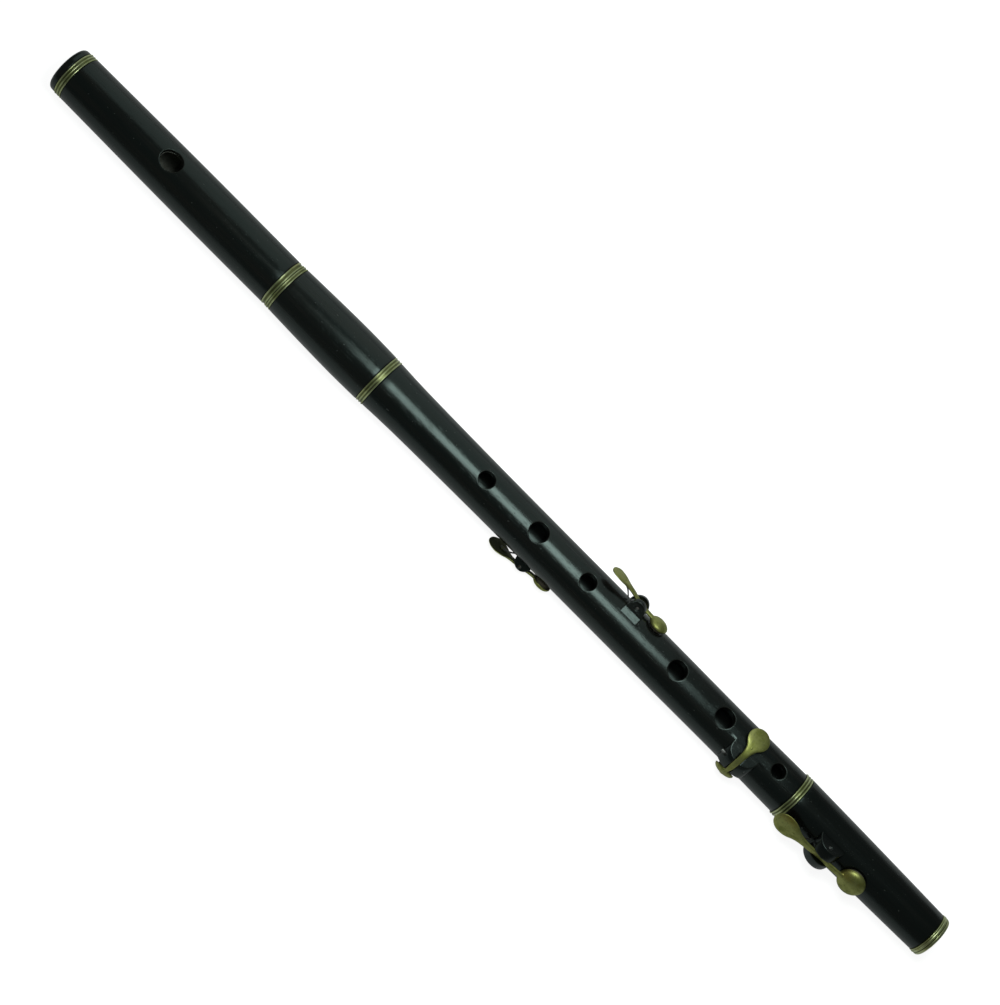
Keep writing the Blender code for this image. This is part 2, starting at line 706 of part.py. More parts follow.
def pad_radius(key):
    return key.cup_radius - CUP_WALL - PAD_PLAY


def make_key(key, flute, joint, joint_at, curve, brass, steel, leather):
    radius = on_curve(curve, key.pin_at)
    line = bpy.data.objects.new(f"{key.name}_line", None)
    bpy.context.scene.collection.objects.link(line)
    place(line, flute, joint_at + key.pin_at, turn=Matrix.Rotation(-math.radians(key.angle), 3, "X"))
    pin_radius = radius + key.pin_height
    turn = Matrix.Rotation(-TAU / 4 if key.cross else 0.0, 3, "Z")
    cut_block(key, line, joint, radius)
    carve_joint(key, line, flute, joint, joint_at, curve)

    lever = lofted(f"{key.name}_key", [lever_section(key, radius, at) for at in lever_stations(key)], brass)
    place(lever, line, z=pin_radius, turn=turn)
    top = lever_point(key, radius, 0.0)[0].z
    lug_outline = [(-LUG_RADIUS * math.cos(TAU / 2 * i / 6), -LUG_RADIUS * math.sin(TAU / 2 * i / 6))
                   for i in range(7)] + [(1.3 * LUG_RADIUS, top), (-1.3 * LUG_RADIUS, top)]
    lug = prism(f"{key.name}_lug", lug_outline, -key.neck_half_width, key.neck_half_width)
    combine(lever, place(lug, lever, turn=Matrix.Rotation(TAU / 4, 3, "Z")), "UNION")

    up, foot = up_angle(key, radius)
    stand = turn_to(up.x, up.z)
    outside, hollow = cup_forms(key, radius)
    cup = turned(f"{key.name}_cup", outside, None, CUP_FACETS)
    combine(lever, place(cup, lever, *foot, turn=stand), "UNION")
    inside = turned(f"{key.name}_cup_hollow", hollow, None, CUP_FACETS)
    combine(lever, place(inside, lever, *foot, turn=stand), "DIFFERENCE")
    play = PIN_RADIUS + PLAY
    across = Matrix.Rotation(TAU / 4, 3, "Z")
    reach = 2 * key.neck_half_width
    drill = turned(f"{key.name}_pin_drill", [(-reach, 0.0), (-reach, play), (reach, play), (reach, 0.0)], None,
                   PIN_FACETS)
    combine(lever, place(drill, lever, turn=across), "DIFFERENCE")

    under = seat_height(key, on_curve(curve, key.pin_at + (0.0 if key.cross else key.cup_at))) + SEAM
    over = radius + key.rim_height + PAD_SINK
    rim = pad_radius(key)
    soft = 0.35 * (over - under)
    outline = [(under, 0.0), (under, rim - soft), (under + soft, rim), (over, rim), (over, 0.0)]
    pad = turned(f"{key.name}_pad", outline, leather, CUP_FACETS)
    place(pad, lever, *foot, turn=stand)

    make_spring(key, radius, lever, steel, brass)
    low, high = key.block_sides
    if key.cross:
        span = (-key.block_half_length - key.pin_stub, key.block_half_length)
    else:
        span = (-low, high)
    pin = turned(f"{key.name}_axle_pin",
                 [(span[0], 0.0), (span[0], PIN_RADIUS), (span[1], PIN_RADIUS), (span[1], 0.0)], steel,
                 PIN_FACETS)
    place(pin, line, z=pin_radius, turn=turn @ across if not key.cross else None)


def carve_joint(key, line, flute, joint, joint_at, curve):
    """Cuts the lever's slot, the pin's hole, the pad's seat and the tone hole into the wood."""
    radius = on_curve(curve, key.pin_at)
    pin_radius = radius + key.pin_height
    floor = pin_radius - LUG_RADIUS - SLOT_PLAY
    clear = radius + key.block_height + 2 * MM
    half = key.neck_half_width + SLOT_PLAY
    reach = (max(key.block_sides) if key.cross else key.block_half_length) + 4 * MM
    slot = prism(f"{key.name}_slot", [(-half, floor), (-half, clear), (half, clear), (half, floor)], -reach,
                 reach)
    combine(joint, place(slot, line, turn=Matrix.Rotation(TAU / 4, 3, "Z") if key.cross else None),
            "DIFFERENCE")
    play = PIN_RADIUS + PLAY
    length = (key.block_half_length if key.cross else max(key.block_sides)) + MM
    drill = turned(f"{key.name}_pin_hole", [(-length, 0.0), (-length, play), (length, play), (length, 0.0)],
                   None, PIN_FACETS)
    place(drill, line, z=pin_radius, turn=None if key.cross else Matrix.Rotation(TAU / 4, 3, "Z"))
    combine(joint, drill, "DIFFERENCE")
    cup_turn = math.degrees(key.cup_at / (radius + key.lever_heights[1][1])) if key.cross else 0.0
    cup_at = key.pin_at + (0.0 if key.cross else key.cup_at)
    seat = pad_radius(key) + SEAT_MARGIN
    level = seat_height(key, on_curve(curve, cup_at))
    outline = [(0.0, 0.0), (0.0, key.hole_radius), (level, key.hole_radius), (level, seat),
               (radius + MM, seat), (radius + MM, 0.0)]
    tool = turned(f"{key.name}_seat", outline, None, CUP_FACETS)
    place(tool, flute, joint_at + cup_at, turn=radial_turn(key.angle - cup_turn))
    combine(joint, tool, "DIFFERENCE")


def make_spring(key, radius, lever, steel, brass):
    """A leaf riveted under the touch that bends down to the wood beside the block."""
    drop = LEVER_THICKNESS / 2 + PLAY + SPRING_THICKNESS / 2
    start = key.rivet_at - 1.5 * MM
    bend = key.rivet_at + 1.5 * MM
    floor = LUG_RADIUS + SLOT_PLAY
    flat = []
    for at in (start, key.rivet_at, bend):
        middle, up = lever_point(key, radius, at)
        flat.append((middle - up * drop, up))
    first, up = flat[-1]
    along = (flat[-1][0] - flat[0][0]).normalized()
    tip_way = lever_point(key, radius, key.spring_tip_at)[1]
    if key.cross:
        tip = lever_point(key, radius, key.spring_tip_at)[0]
        tip = Vector((tip.x, 0.0, PLAY + SPRING_THICKNESS - floor))
        tip_way = Vector((0.0, 0.0, 1.0))
    else:
        tip = Vector((key.spring_tip_at, 0.0, SPRING_THICKNESS + PLAY - key.pin_height))
    span = (tip - first).length
    controls = (first, first + along * 0.35 * span, tip - (along - 0.6 * tip_way).normalized() * 0.3 * span, tip)
    sections = list(flat)
    for i in range(1, 7):
        t = i / 6
        weights = ((1 - t) ** 3, 3 * t * (1 - t) ** 2, 3 * t * t * (1 - t), t**3)
        point = sum((c * w for c, w in zip(controls, weights)), Vector((0.0, 0.0, 0.0)))
        before = sections[-1][0]
        way = (point - before).normalized()
        sections.append((point, Vector((-way.z, 0.0, way.x))))
    half = SPRING_THICKNESS / 2
    shape = [(SPRING_HALF_WIDTH, -half), (SPRING_HALF_WIDTH, half), (-SPRING_HALF_WIDTH, half),
             (-SPRING_HALF_WIDTH, -half)]
    rings = [[point + up * rise + Vector((0.0, side, 0.0)) for side, rise in shape] for point, up in sections]
    spring = place(lofted(f"{key.name}_spring", rings, steel), lever)

    middle, up = lever_point(key, radius, key.rivet_at)
    stand = turn_to(up.x, up.z)
    low = -drop - SPRING_THICKNESS / 2 - RIVET_HEAD
    high = LEVER_THICKNESS / 2 + RIVET_HEAD / 2
    shank = [(low, 0.0), (low, RIVET_RADIUS), (high, RIVET_RADIUS), (high, 0.0)]
    rivet = turned(f"{key.name}_spring_rivet", shank, brass, PIN_FACETS)
    place(rivet, lever, *middle, turn=stand)
    for plate in (lever, spring):
        play = RIVET_RADIUS + PLAY
        hole = [(low - MM, 0.0), (low - MM, play), (high + MM, play), (high + MM, 0.0)]
        drill = turned(f"{plate.name}_rivet_hole", hole, None, PIN_FACETS)
        combine(plate, place(drill, lever, *middle, turn=stand), "DIFFERENCE")


def build():
    for obj in list(bpy.data.objects):
        bpy.data.objects.remove(obj)
    wood = finish("blackwood", (0.012, 0.013, 0.012), 0.35)
    brass = finish("brass", (0.50, 0.46, 0.20), 0.3, 1.0)
    steel = finish("spring_steel", (0.32, 0.31, 0.27), 0.35, 1.0)
    thread = finish("waxed_thread", (0.35, 0.18, 0.08), 0.8)
    cork = finish("cork", (0.45, 0.27, 0.13), 0.85)
    leather = finish("pad_leather", (0.62, 0.47, 0.28), 0.7)

    flute = bpy.data.objects.new("flute_axis", None)
    bpy.context.scene.collection.objects.link(flute)
    flute.location = (-FLUTE_LENGTH / 2, 0.0, BARREL_SWELL[1] * math.cos(TAU / 2 / WOOD_FACETS))
    make_cap(flute, wood, thread)
    make_head(flute, wood, brass, cork)
    make_barrel(flute, wood, brass)
    body = make_body(flute, wood, thread)
    foot = make_foot(flute, wood, brass)
    for key in (B_FLAT, G_SHARP, F_NATURAL):
        make_key(key, flute, body, BODY_AT, BODY_CURVE, brass, steel, leather)
    make_finger_holes(flute, body)
    make_key(D_SHARP, flute, foot, FOOT_AT, FOOT_CURVE, brass, steel, leather)


build()
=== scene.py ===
"""The looks of a wooden concert flute with four brass keys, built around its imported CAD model.

Shapes are worked out in millimetres in the flute's own frame: X runs from the outer face of the cap to the
foot, the bore's axis is Y = Z = 0, and angles go round the flute from the finger holes (+Z) toward +Y.
"""

import math
from dataclasses import dataclass, field

import bmesh
import bpy
import numpy as np
from mathutils import Matrix, Vector


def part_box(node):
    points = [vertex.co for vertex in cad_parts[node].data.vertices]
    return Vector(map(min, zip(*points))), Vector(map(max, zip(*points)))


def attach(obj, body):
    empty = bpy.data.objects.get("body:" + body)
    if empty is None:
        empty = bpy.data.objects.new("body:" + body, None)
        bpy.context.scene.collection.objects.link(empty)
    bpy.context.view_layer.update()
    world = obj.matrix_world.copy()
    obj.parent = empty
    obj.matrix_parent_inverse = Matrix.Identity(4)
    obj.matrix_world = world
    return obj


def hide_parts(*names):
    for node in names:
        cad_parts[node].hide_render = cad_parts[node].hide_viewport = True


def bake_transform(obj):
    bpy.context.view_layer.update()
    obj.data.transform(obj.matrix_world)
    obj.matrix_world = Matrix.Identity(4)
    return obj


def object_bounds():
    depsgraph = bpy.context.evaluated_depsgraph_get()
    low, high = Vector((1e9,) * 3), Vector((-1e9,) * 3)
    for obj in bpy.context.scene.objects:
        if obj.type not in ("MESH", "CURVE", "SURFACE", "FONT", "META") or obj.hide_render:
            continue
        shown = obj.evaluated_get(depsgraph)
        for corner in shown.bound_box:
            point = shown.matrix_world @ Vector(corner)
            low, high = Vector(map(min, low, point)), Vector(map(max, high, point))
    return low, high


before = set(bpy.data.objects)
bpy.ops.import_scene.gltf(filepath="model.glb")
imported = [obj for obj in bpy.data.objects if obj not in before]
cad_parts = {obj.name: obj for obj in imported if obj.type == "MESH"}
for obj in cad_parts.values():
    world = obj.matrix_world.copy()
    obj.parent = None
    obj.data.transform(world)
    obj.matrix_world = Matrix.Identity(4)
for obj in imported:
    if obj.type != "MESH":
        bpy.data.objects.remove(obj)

CAD_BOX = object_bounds()
MM = 0.001
TAU = math.tau

# Where the flute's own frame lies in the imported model
CAP_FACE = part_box("end_cap")[0].x
AXIS_HEIGHT = sum(corner.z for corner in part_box("barrel_upper_ring")) / 2
TO_MODEL = Matrix.Translation((CAP_FACE, 0.0, AXIS_HEIGHT)) @ Matrix.Scale(MM, 4)

# Clearances
SEAM = 0.3
PLAY = 0.12

# Outsides of the wood: distance from the joint's upper shoulder, and radius there
HEAD_CURVE = ((0.0, 13.15), (84.7, 13.7), (148.5, 13.6))
BARREL_CURVE = ((0.0, 13.7), (25.8, 14.35), (46.5, 14.6), (67.8, 14.25))
BODY_CURVE = ((0.0, 14.05), (12.7, 13.5), (32.7, 13.1), (82.6, 12.65), (192.6, 12.5), (242.6, 12.3),
              (285.0, 12.65))
FOOT_CURVE = ((0.0, 13.3), (42.2, 12.7), (82.2, 12.0), (101.0, 11.6))

# Joints of the flute, from shoulder to shoulder, and where each one starts
HEAD_LENGTH, BARREL_LENGTH, BODY_LENGTH, FOOT_LENGTH = (
    curve[-1][0] for curve in (HEAD_CURVE, BARREL_CURVE, BODY_CURVE, FOOT_CURVE))
CAP_LENGTH = 3.8
CAP_RADIUS = 12.95
CAP_EDGE = 2.2
HEAD_AT = CAP_LENGTH + SEAM
BARREL_AT = HEAD_AT + HEAD_LENGTH + SEAM
BODY_AT = BARREL_AT + BARREL_LENGTH + SEAM
FOOT_AT = BODY_AT + BODY_LENGTH + SEAM

# Tenons, as length and radius, and their lapping
UPPER_TENON = (23.5, 11.3)
LOWER_TENON = (20.5, 9.3)
CAP_TENON = (8.0, 10.0)
TENON_BEVEL = 0.5
LAPPING_DEPTH = 0.9
LAPPING_STAND = 0.3
LAPPING_MARGIN = 4.0
CAP_LAPPING_MARGIN = 1.8
THREAD_RADIUS = 0.2
THREAD_PITCH = 2.1 * THREAD_RADIUS

# Bores, given in the same way from end to end, and the tubes of the tuning slide
HEAD_BORE = ((0.0, 10.6), (HEAD_LENGTH, 10.6))
BODY_BORE = ((-UPPER_TENON[0], 9.0), (BODY_LENGTH + LOWER_TENON[0], 6.7))
FOOT_BORE = ((LOWER_TENON[0] + SEAM, 6.5), (FOOT_LENGTH, 5.6))
LINER_RADII = (9.8, 10.3)
SLIDE_RADII = (9.1, 9.5)
SLIDE_WOOD_BORE = 9.8
SLIDE_OVERLAP = 42.0

# Brass rings
RING_WALL = 1.0
RING_STAND = 0.12
BAND_SINK = 0.42
BAND_CROWN = 0.12
HEAD_END_RING = 4.0
HEAD_LOWER_RING = 3.0
BARREL_UPPER_RING = 2.3
BARREL_SOCKET_RING = 4.0
FOOT_SOCKET_RING = 4.0
FOOT_END_RING = 4.4

# Holes: distance from the joint's upper end, half length, half width, angle
BLOW_HOLE_AT = 0.4539 * HEAD_LENGTH
BLOW_HOLE = (BLOW_HOLE_AT, 6.15, 5.4, 0.0)
FINGER_HOLES = tuple((share * BODY_LENGTH, radius, radius, angle) for share, radius, angle in (
    (0.246, 4.35, -1.5), (0.3733, 5.15, -1.5), (0.4937, 4.3, -1.5),
    (0.7098, 5.05, 2.0), (0.8256, 5.2, 2.0), (0.9554, 3.85, 2.0)))
HOLE_MARGIN = 1.6
HOLE_RIM = 0.55
SEAT_RIM = 0.3
LINER_RIM = 0.12
BORE_RIM = 0.35
STOPPER_LENGTH = 21.0
STOPPER_SETBACK = 19.0
STOPPER_EDGE = (0.6, 0.4)

# Blocks and keys
CUT_PAST = 1.0
BLOCK_ROOT = 0.5
FACET_SINK = 0.15
FACET_LEAN = 4.8
LUG_RADIUS = 1.5
LUG_SPREAD = 1.3
PIN_RADIUS = 0.8
PIN_UNSHADED_END = 1.9
PIN_FADE = 0.4
PIN_REACH = 0.9
CROSS_PIN_REACH = 0.74
SLOT_PLAY = 0.3
CUP_LIP = 0.5
CUP_WALL = 0.7
CUP_EDGE = 0.12
PAD_PLAY = 0.55
PAD_SINK = 0.8
PAD_FLAT = 0.55
PAD_SOFT = 0.35
PAD_ROLL = 1.2
SEAT_MARGIN = 0.5
TOUCH_THICKNESS = 1.0
TOUCH_CROWN = 0.3
TOUCH_ROUND = 0.7
LEVER_FULLNESS = (0.62, 0.72)
LEVER_THICKNESS = 1.6
SPRING_THICKNESS = 0.35
SPRING_HALF_WIDTH = 1.1
SPRING_FLAT = 1.5
SPRING_TAPER = 0.35
SPRING_END = 0.75
RIVET_RADIUS = 0.6
RIVET_HEAD = 0.2

# How finely things are divided, and how far the mesh bends where wear starts and where it is full
WOOD_COLUMNS = 96
RING_COLUMNS = 128
BEAD_COLUMNS = 160
CUP_COLUMNS = 96
PAD_COLUMNS = 72
SMALL_COLUMNS = 32
HOLLOW_ROWS = 6
CREST_ROWS = 28
LUG_ROWS = 20
DOME_ROWS = 20
VAULT_ROWS = 14
LEVER_COLUMNS = 36
TOUCH_SECTIONS = 16
NECK_SECTIONS = 48
SPRING_SECTIONS = 24
PATCH_COLUMNS = 30
PATCH_ROWS = 14
ROW_STEP = 5.0
BARREL_ROW_STEP = 2.5
STEP_LEAN = 0.01
KEY_VOXEL = 0.17
BLOCK_VOXEL = 0.24
SHARP_TURN = math.radians(24.0)
CORNER_SHARE = 0.45
KEY_WEAR = (0.08, 0.20)
BLOCK_WEAR = (0.07, 0.20)


@dataclass(kw_only=True)
class Key:
    """A key on its block. Distances run along the lever from the pin, the touch's side negative, and
    heights stand above the wood at the pin. The lever's heights start at the tip and the middle of its
    touch and end at the middle of its cup."""

    name: str
    angle: float
    pin_at: float
    pin_height: float
    pin_stub: float = 0.0
    cross: bool = False
    block_half_length: float
    block_height: float
    block_sides: tuple
    facet_angle: float = 0.0
    facet_foot: float = 0.0
    cup_radius: float
    rim_height: float = 1.4
    dome_height: float
    hole_radius: float
    touch_half_width: float
    touch_taper: float
    touch_roll: float = 0.0
    neck_half_width: float = 1.6
    tail_slims: float = 0.0
    lever_heights: tuple
    rivet_at: float
    spring_tip_at: float

    def __post_init__(self):
        self.tip_at, self.touch_at, self.cup_at = (self.lever_heights[i][0] for i in (0, 1, -1))
        self.hole_at = self.pin_at + (0.0 if self.cross else self.cup_at)
        self.pad_radius = self.cup_radius - CUP_WALL - PAD_PLAY
        self.seat_radius = self.pad_radius + SEAT_MARGIN

    def round_wood(self, radius, at):
        """How far round wood of this radius a place on a lever that lies across it is."""
        return at / (radius + self.lever_heights[1][1])


B_FLAT = Key(
    name="b_flat", angle=-130.0, pin_at=0.393 * BODY_LENGTH, pin_height=2.6,
    block_half_length=4.9, block_height=4.9, block_sides=(4.2, 4.2),
    cup_radius=5.3, dome_height=2.4, hole_radius=3.0,
    touch_half_width=5.3, touch_taper=7.0, touch_roll=14.0,
    lever_heights=((-20.6, 4.55), (-14.0, 4.4), (-7.0, 4.3), (0.0, 3.8), (6.0, 2.6), (13.5, 2.0)),
    rivet_at=-12.5, spring_tip_at=-5.8,
)
G_SHARP = Key(
    name="g_sharp", angle=46.0, pin_at=0.5853 * BODY_LENGTH, pin_height=2.35,
    block_half_length=5.5, block_height=6.3, block_sides=(4.7, 4.7), facet_angle=-54.0, facet_foot=6.3,
    cup_radius=5.4, dome_height=2.6, hole_radius=3.2,
    touch_half_width=4.65, touch_taper=7.5,
    lever_heights=((-22.2, 6.5), (-17.8, 6.9), (-7.0, 5.0), (0.0, 3.1), (5.5, 2.6), (13.4, 2.4)),
    rivet_at=-13.6, spring_tip_at=-6.2,
)
F_NATURAL = Key(
    name="f_natural", angle=-53.4, pin_at=0.8923 * BODY_LENGTH, pin_height=1.55, pin_stub=0.9, cross=True,
    block_half_length=8.5, block_height=3.75, block_sides=(6.3, 0.0), facet_angle=48.4,
    cup_radius=5.7, dome_height=2.5, hole_radius=3.3,
    touch_half_width=6.05, touch_taper=6.1, neck_half_width=1.5, tail_slims=0.45,
    lever_heights=((-24.4, 4.4), (-18.3, 3.6), (-8.5, 3.6), (0.0, 3.6), (8.0, 3.7), (14.6, 3.8)),
    rivet_at=-12.4, spring_tip_at=-6.4,
)
D_SHARP = Key(
    name="d_sharp", angle=-58.0, pin_at=0.3015 * FOOT_LENGTH, pin_height=2.5,
    block_half_length=7.7, block_height=6.95, block_sides=(7.4, 7.4),
    cup_radius=7.5, rim_height=0.8, dome_height=3.5, hole_radius=4.25,
    touch_half_width=6.3, touch_taper=8.5,
    lever_heights=((-29.75, 5.6), (-23.0, 5.9), (-9.0, 5.3), (0.0, 4.3), (9.0, 3.8), (20.2, 2.4)),
    rivet_at=-17.5, spring_tip_at=-8.8,
)
BODY_KEYS = (B_FLAT, G_SHARP, F_NATURAL)


# Node trees written as expressions

class Wire:
    """One output of a node. Sums and products with it add the Math nodes that they need."""

    def __init__(self, graph, node, socket):
        self.graph = graph
        self.node = node
        self.socket = socket

    def output(self, name):
        return Wire(self.graph, self.node, self.node.outputs[name])

    def math(self, operation, *values):
        return self.graph.node("ShaderNodeMath", dict(enumerate(values)), operation=operation)

    def __add__(self, other):
        return self.math("ADD", self, other)

    __radd__ = __add__

    def __sub__(self, other):
        return self.math("SUBTRACT", self, other)

    def __rsub__(self, other):
        return self.math("SUBTRACT", other, self)

    def __mul__(self, other):
        return self.math("MULTIPLY", self, other)

    __rmul__ = __mul__


class Graph:
    """A node tree to which nodes are added by type, the values or wires of their sockets, and settings."""

    def __init__(self, tree):
        self.tree = tree

    def node(self, kind, values=None, output=0, **settings):
        node = self.tree.nodes.new(kind)
        for name, value in settings.items():
            setattr(node, name, value)
        for name, value in (values or {}).items():
            if isinstance(value, Wire):
                self.tree.links.new(value.socket, node.inputs[name])
            else:
                node.inputs[name].default_value = value
        return Wire(self, node, node.outputs[output] if len(node.outputs) else None)

    def place(self, along, across=None, offset=(0.0, 0.0, 0.0)):
        """The piece's own coordinates, stretched along the flute and across it."""
        own = self.node("ShaderNodeTexCoord", output="Object")
        scale = (along, across or along, across or along)
        return self.node("ShaderNodeMapping", {"Vector": own, "Location": offset, "Scale": scale})

    def noise(self, along, across=None, detail=4.0, roughness=0.5, offset=(0.0, 0.0, 0.0)):
        vector = self.place(along, across, offset)
        return self.node("ShaderNodeTexNoise", {"Vector": vector, "Scale": 1.0, "Detail": detail,
                                                "Roughness": roughness})

    def cells(self, size, **settings):
        return self.node("ShaderNodeTexVoronoi", {"Vector": self.place(size), "Scale": 1.0}, **settings)

    def between(self, value, low, high):
        """0 where the value is at low, 1 where it is at high, and smooth between."""
        values = {"Value": value, "From Min": low, "From Max": high}
        return self.node("ShaderNodeMapRange", values, interpolation_type="SMOOTHSTEP")

    def mix(self, share, first, second):
        """A colour between two colours."""
        full = [c if isinstance(c, Wire) else (*c, 1.0) for c in (first, second)]
        return self.node("ShaderNodeMix", {0: share, 6: full[0], 7: full[1]}, 2, data_type="RGBA")

    def attribute(self, name):
        return self.node("ShaderNodeAttribute", output="Fac", attribute_name=name)

    def bump(self, height, distance, strength, normal=None):
        values = {"Height": height, "Distance": distance, "Strength": strength}
        if normal:
            values["Normal"] = normal
        return self.node("ShaderNodeBump", values)


def new_finish(name):
    made = bpy.data.materials.new(name)
    made.use_nodes = True
    made.node_tree.nodes.clear()
    return made, Graph(made.node_tree)


def surface(made, graph, **values):
    """Ends a material in a Principled shader with these socket values."""
    named = {name.replace("_", " "): value for name, value in values.items()}
    graph.node("ShaderNodeOutputMaterial", {"Surface": graph.node("ShaderNodeBsdfPrincipled", named)})
    return made


# Finishes

# How bright each joint's wood is painted: the body a little darker and the foot much darker, as painted shade
# where less light falls on them.
WOOD_PAINTED_LIGHT = {"cap": 1.0, "head": 1.0, "barrel": 1.0, "body": 0.9, "foot": 0.5}
WOOD_COLOURS = ((0.0030, 0.0042, 0.0039), (0.0078, 0.0066, 0.0054), (0.0042, 0.0060, 0.0055),
                (0.026, 0.025, 0.021))
PORE_COLOUR = (0.0014, 0.0016, 0.0015)
NICK_COLOUR = (0.060, 0.062, 0.058)
BORE_COLOUR = (0.0075, 0.0080, 0.0070)

# Grain along the flute and across it, colours where it is rubbed, dull, stained, and dark with dirt and
# painted shade, and roughness
BRASSES = {
    "turned_brass": ((2600.0, 60.0), (0.57, 0.635, 0.35), (0.355, 0.405, 0.168), (0.40, 0.38, 0.13),
                     (0.075, 0.09, 0.02), 0.26),
    "key_brass": ((900.0, 900.0), (0.37, 0.395, 0.13), (0.225, 0.25, 0.06), (0.34, 0.26, 0.05),
                  (0.066, 0.071, 0.062), 0.38),
    # Brass of the lining and slide tube, painted dark grey: painted shade inside the head, where little light
    # reaches.
    "painted_shade_tube_brass": ((2600.0, 60.0), (0.21, 0.22, 0.19), (0.12, 0.127, 0.105), (0.12, 0.10, 0.07),
                   (0.03, 0.03, 0.024), 0.38),
}


def blackwood(name, offset, painted_light):
    """Oiled blackwood: almost black, with long brown streaks and fine pores, paler where it is handled, with
    its ground colours scaled by the joint's painted light.
    """
    made, g = new_finish(name)
    streak = g.noise(11.0, 310.0, 5.0, 0.62, offset)
    cloud = g.noise(26.0, 70.0, 2.0, offset=offset)
    pore = g.noise(150.0, 2600.0, 2.0, offset=offset)
    rub = g.noise(420.0, 1500.0, 3.0, offset=offset)
    worn, inside = g.attribute("worn"), g.attribute("inside")
    dark, brown, grey, rubbed = (tuple(painted_light * part for part in colour) for colour in WOOD_COLOURS)
    ground = g.mix(g.between(streak, 0.36, 0.66), dark, brown)
    ground = g.mix(g.between(cloud, 0.40, 0.75) * 0.5, ground, grey)
    ground = g.mix(g.between(pore, 0.62, 0.72) * 0.6, ground, PORE_COLOUR)
    ground = g.mix(worn * (0.25 + 0.4 * rub), ground, rubbed)
    nick = g.between(g.noise(420.0, 620.0, 1.0, offset=offset), 0.745, 0.79)
    ground = g.mix(nick * (0.2 + 0.6 * rub), ground, NICK_COLOUR)
    ground = g.mix(inside * 0.8, ground, BORE_COLOUR)
    rough = 0.16 + 0.08 * cloud + 0.07 * g.between(streak, 0.4, 0.8) + 0.10 * inside + 0.05 * rub
    rough = rough + 0.08 * worn + 0.15 * nick
    relief = g.bump(g.between(pore, 0.75, 0.60), 0.00004, 0.5)
    relief = g.bump(streak, 0.00012, 0.35, relief)
    relief = g.bump(g.noise(240.0, 520.0, 2.0, offset=offset), 0.00010, 0.30, relief)
    return surface(made, g, Base_Color=ground, Roughness=rough, Normal=relief, Specular_IOR_Level=0.5,
                   Specular_Tint=(0.77, 1.0, 0.94, 1.0))


def brass(name):
    """Old brass that has gone olive: brighter where it is rubbed, with dark specks of dirt, darker in the
    hollows of its rings, and with painted shade on the undersides of its keys.
    """
    made, g = new_finish(name)
    grain, rubbed, dulled, stained, dirt_and_shade, roughness = BRASSES[name]
    patch = g.noise(160.0, roughness=0.6)
    speck = g.noise(1400.0, detail=2.0)
    tooling = g.noise(*grain, 3.0, 0.6)
    dull = g.between(patch, 0.40, 0.68)
    colour = g.mix(dull, rubbed, dulled)
    stain = g.noise(95.0, detail=3.0, offset=(4.0, 1.0, 2.0))
    colour = g.mix(g.between(stain, 0.56, 0.72) * 0.6, colour, stained)
    colour = g.mix(g.between(speck, 0.58, 0.70) * 0.45, colour, dirt_and_shade)
    colour = g.mix(g.attribute("worn") * 0.7, colour, rubbed)
    # Darker by the marked share: painted shade under the keys, and the hollows of the rings.
    colour = g.mix(g.attribute("groove") * 0.85, colour, dirt_and_shade)
    rough = roughness + 0.12 * dull + 0.08 * tooling
    return surface(made, g, Base_Color=colour, Roughness=rough, Normal=g.bump(tooling, 0.00003, 0.5),
                   Metallic=0.93)


def spring_steel():
    made, g = new_finish("blued_spring_steel")
    polish = g.noise(300.0, 2500.0, 3.0)
    spot = g.between(g.noise(700.0, detail=3.0), 0.52, 0.66)
    colour = g.mix(spot, (0.21, 0.22, 0.21), (0.10, 0.08, 0.06))
    # Near black where marked: painted shade along the middles of the pins.
    colour = g.mix(g.attribute("groove") * 0.9, colour, (0.02, 0.02, 0.018))
    return surface(made, g, Base_Color=colour, Roughness=0.40 + 0.2 * spot + 0.1 * polish,
                   Metallic=0.95, Normal=g.bump(polish, 0.00002, 0.5))


def waxed_thread():
    made, g = new_finish("waxed_red_thread")
    fuzz = g.noise(2600.0, detail=3.0)
    wax = g.noise(220.0, detail=3.0)
    colour = g.mix(g.between(wax, 0.4, 0.7), (0.30, 0.045, 0.028), (0.20, 0.05, 0.03))
    colour = g.mix(g.between(fuzz, 0.5, 0.75) * 0.6, colour, (0.42, 0.13, 0.07))
    return surface(made, g, Base_Color=colour, Roughness=0.62 + 0.2 * fuzz,
                   Normal=g.bump(fuzz, 0.00006, 0.7))


def cork():
    made, g = new_finish("stopper_cork_grain")
    cells = g.cells(900.0)
    grain = g.noise(420.0)
    pit = g.between(grain, 0.62, 0.74)
    colour = g.mix(g.between(cells, 0.1, 0.7), (0.52, 0.31, 0.15), (0.38, 0.21, 0.10))
    colour = g.mix(pit, colour, (0.12, 0.06, 0.03))
    relief = g.bump(1.0 - pit, 0.0003, 0.8)
    return surface(made, g, Base_Color=colour, Roughness=0.78 + 0.1 * grain, Normal=relief)


def pad_leather():
    made, g = new_finish("pad_kid_leather")
    crease = g.between(g.cells(1500.0, feature="DISTANCE_TO_EDGE"), 0.10, 0.0)
    soil = g.noise(260.0)
    # Leather colours darkened nearly to black: painted shade of the pad under its cup.
    colour = g.mix(g.between(soil, 0.35, 0.7), (0.115, 0.102, 0.070), (0.060, 0.052, 0.036))
    colour = g.mix(crease * 0.6, colour, (0.045, 0.034, 0.020))
    return surface(made, g, Base_Color=colour, Roughness=0.58 + 0.2 * soil,
                   Normal=g.bump(1.0 - crease, 0.00008, 0.7))


# Turns, curves and outlines

def shift(x=0.0, z=0.0):
    return Matrix.Translation((x, 0.0, z))


def rotation(axis, angle):
    return Matrix.Rotation(angle, 4, axis)


def facing(angle):
    """Turns what stands at +Z to an angle round the flute, in degrees."""
    return rotation("X", -math.radians(angle))


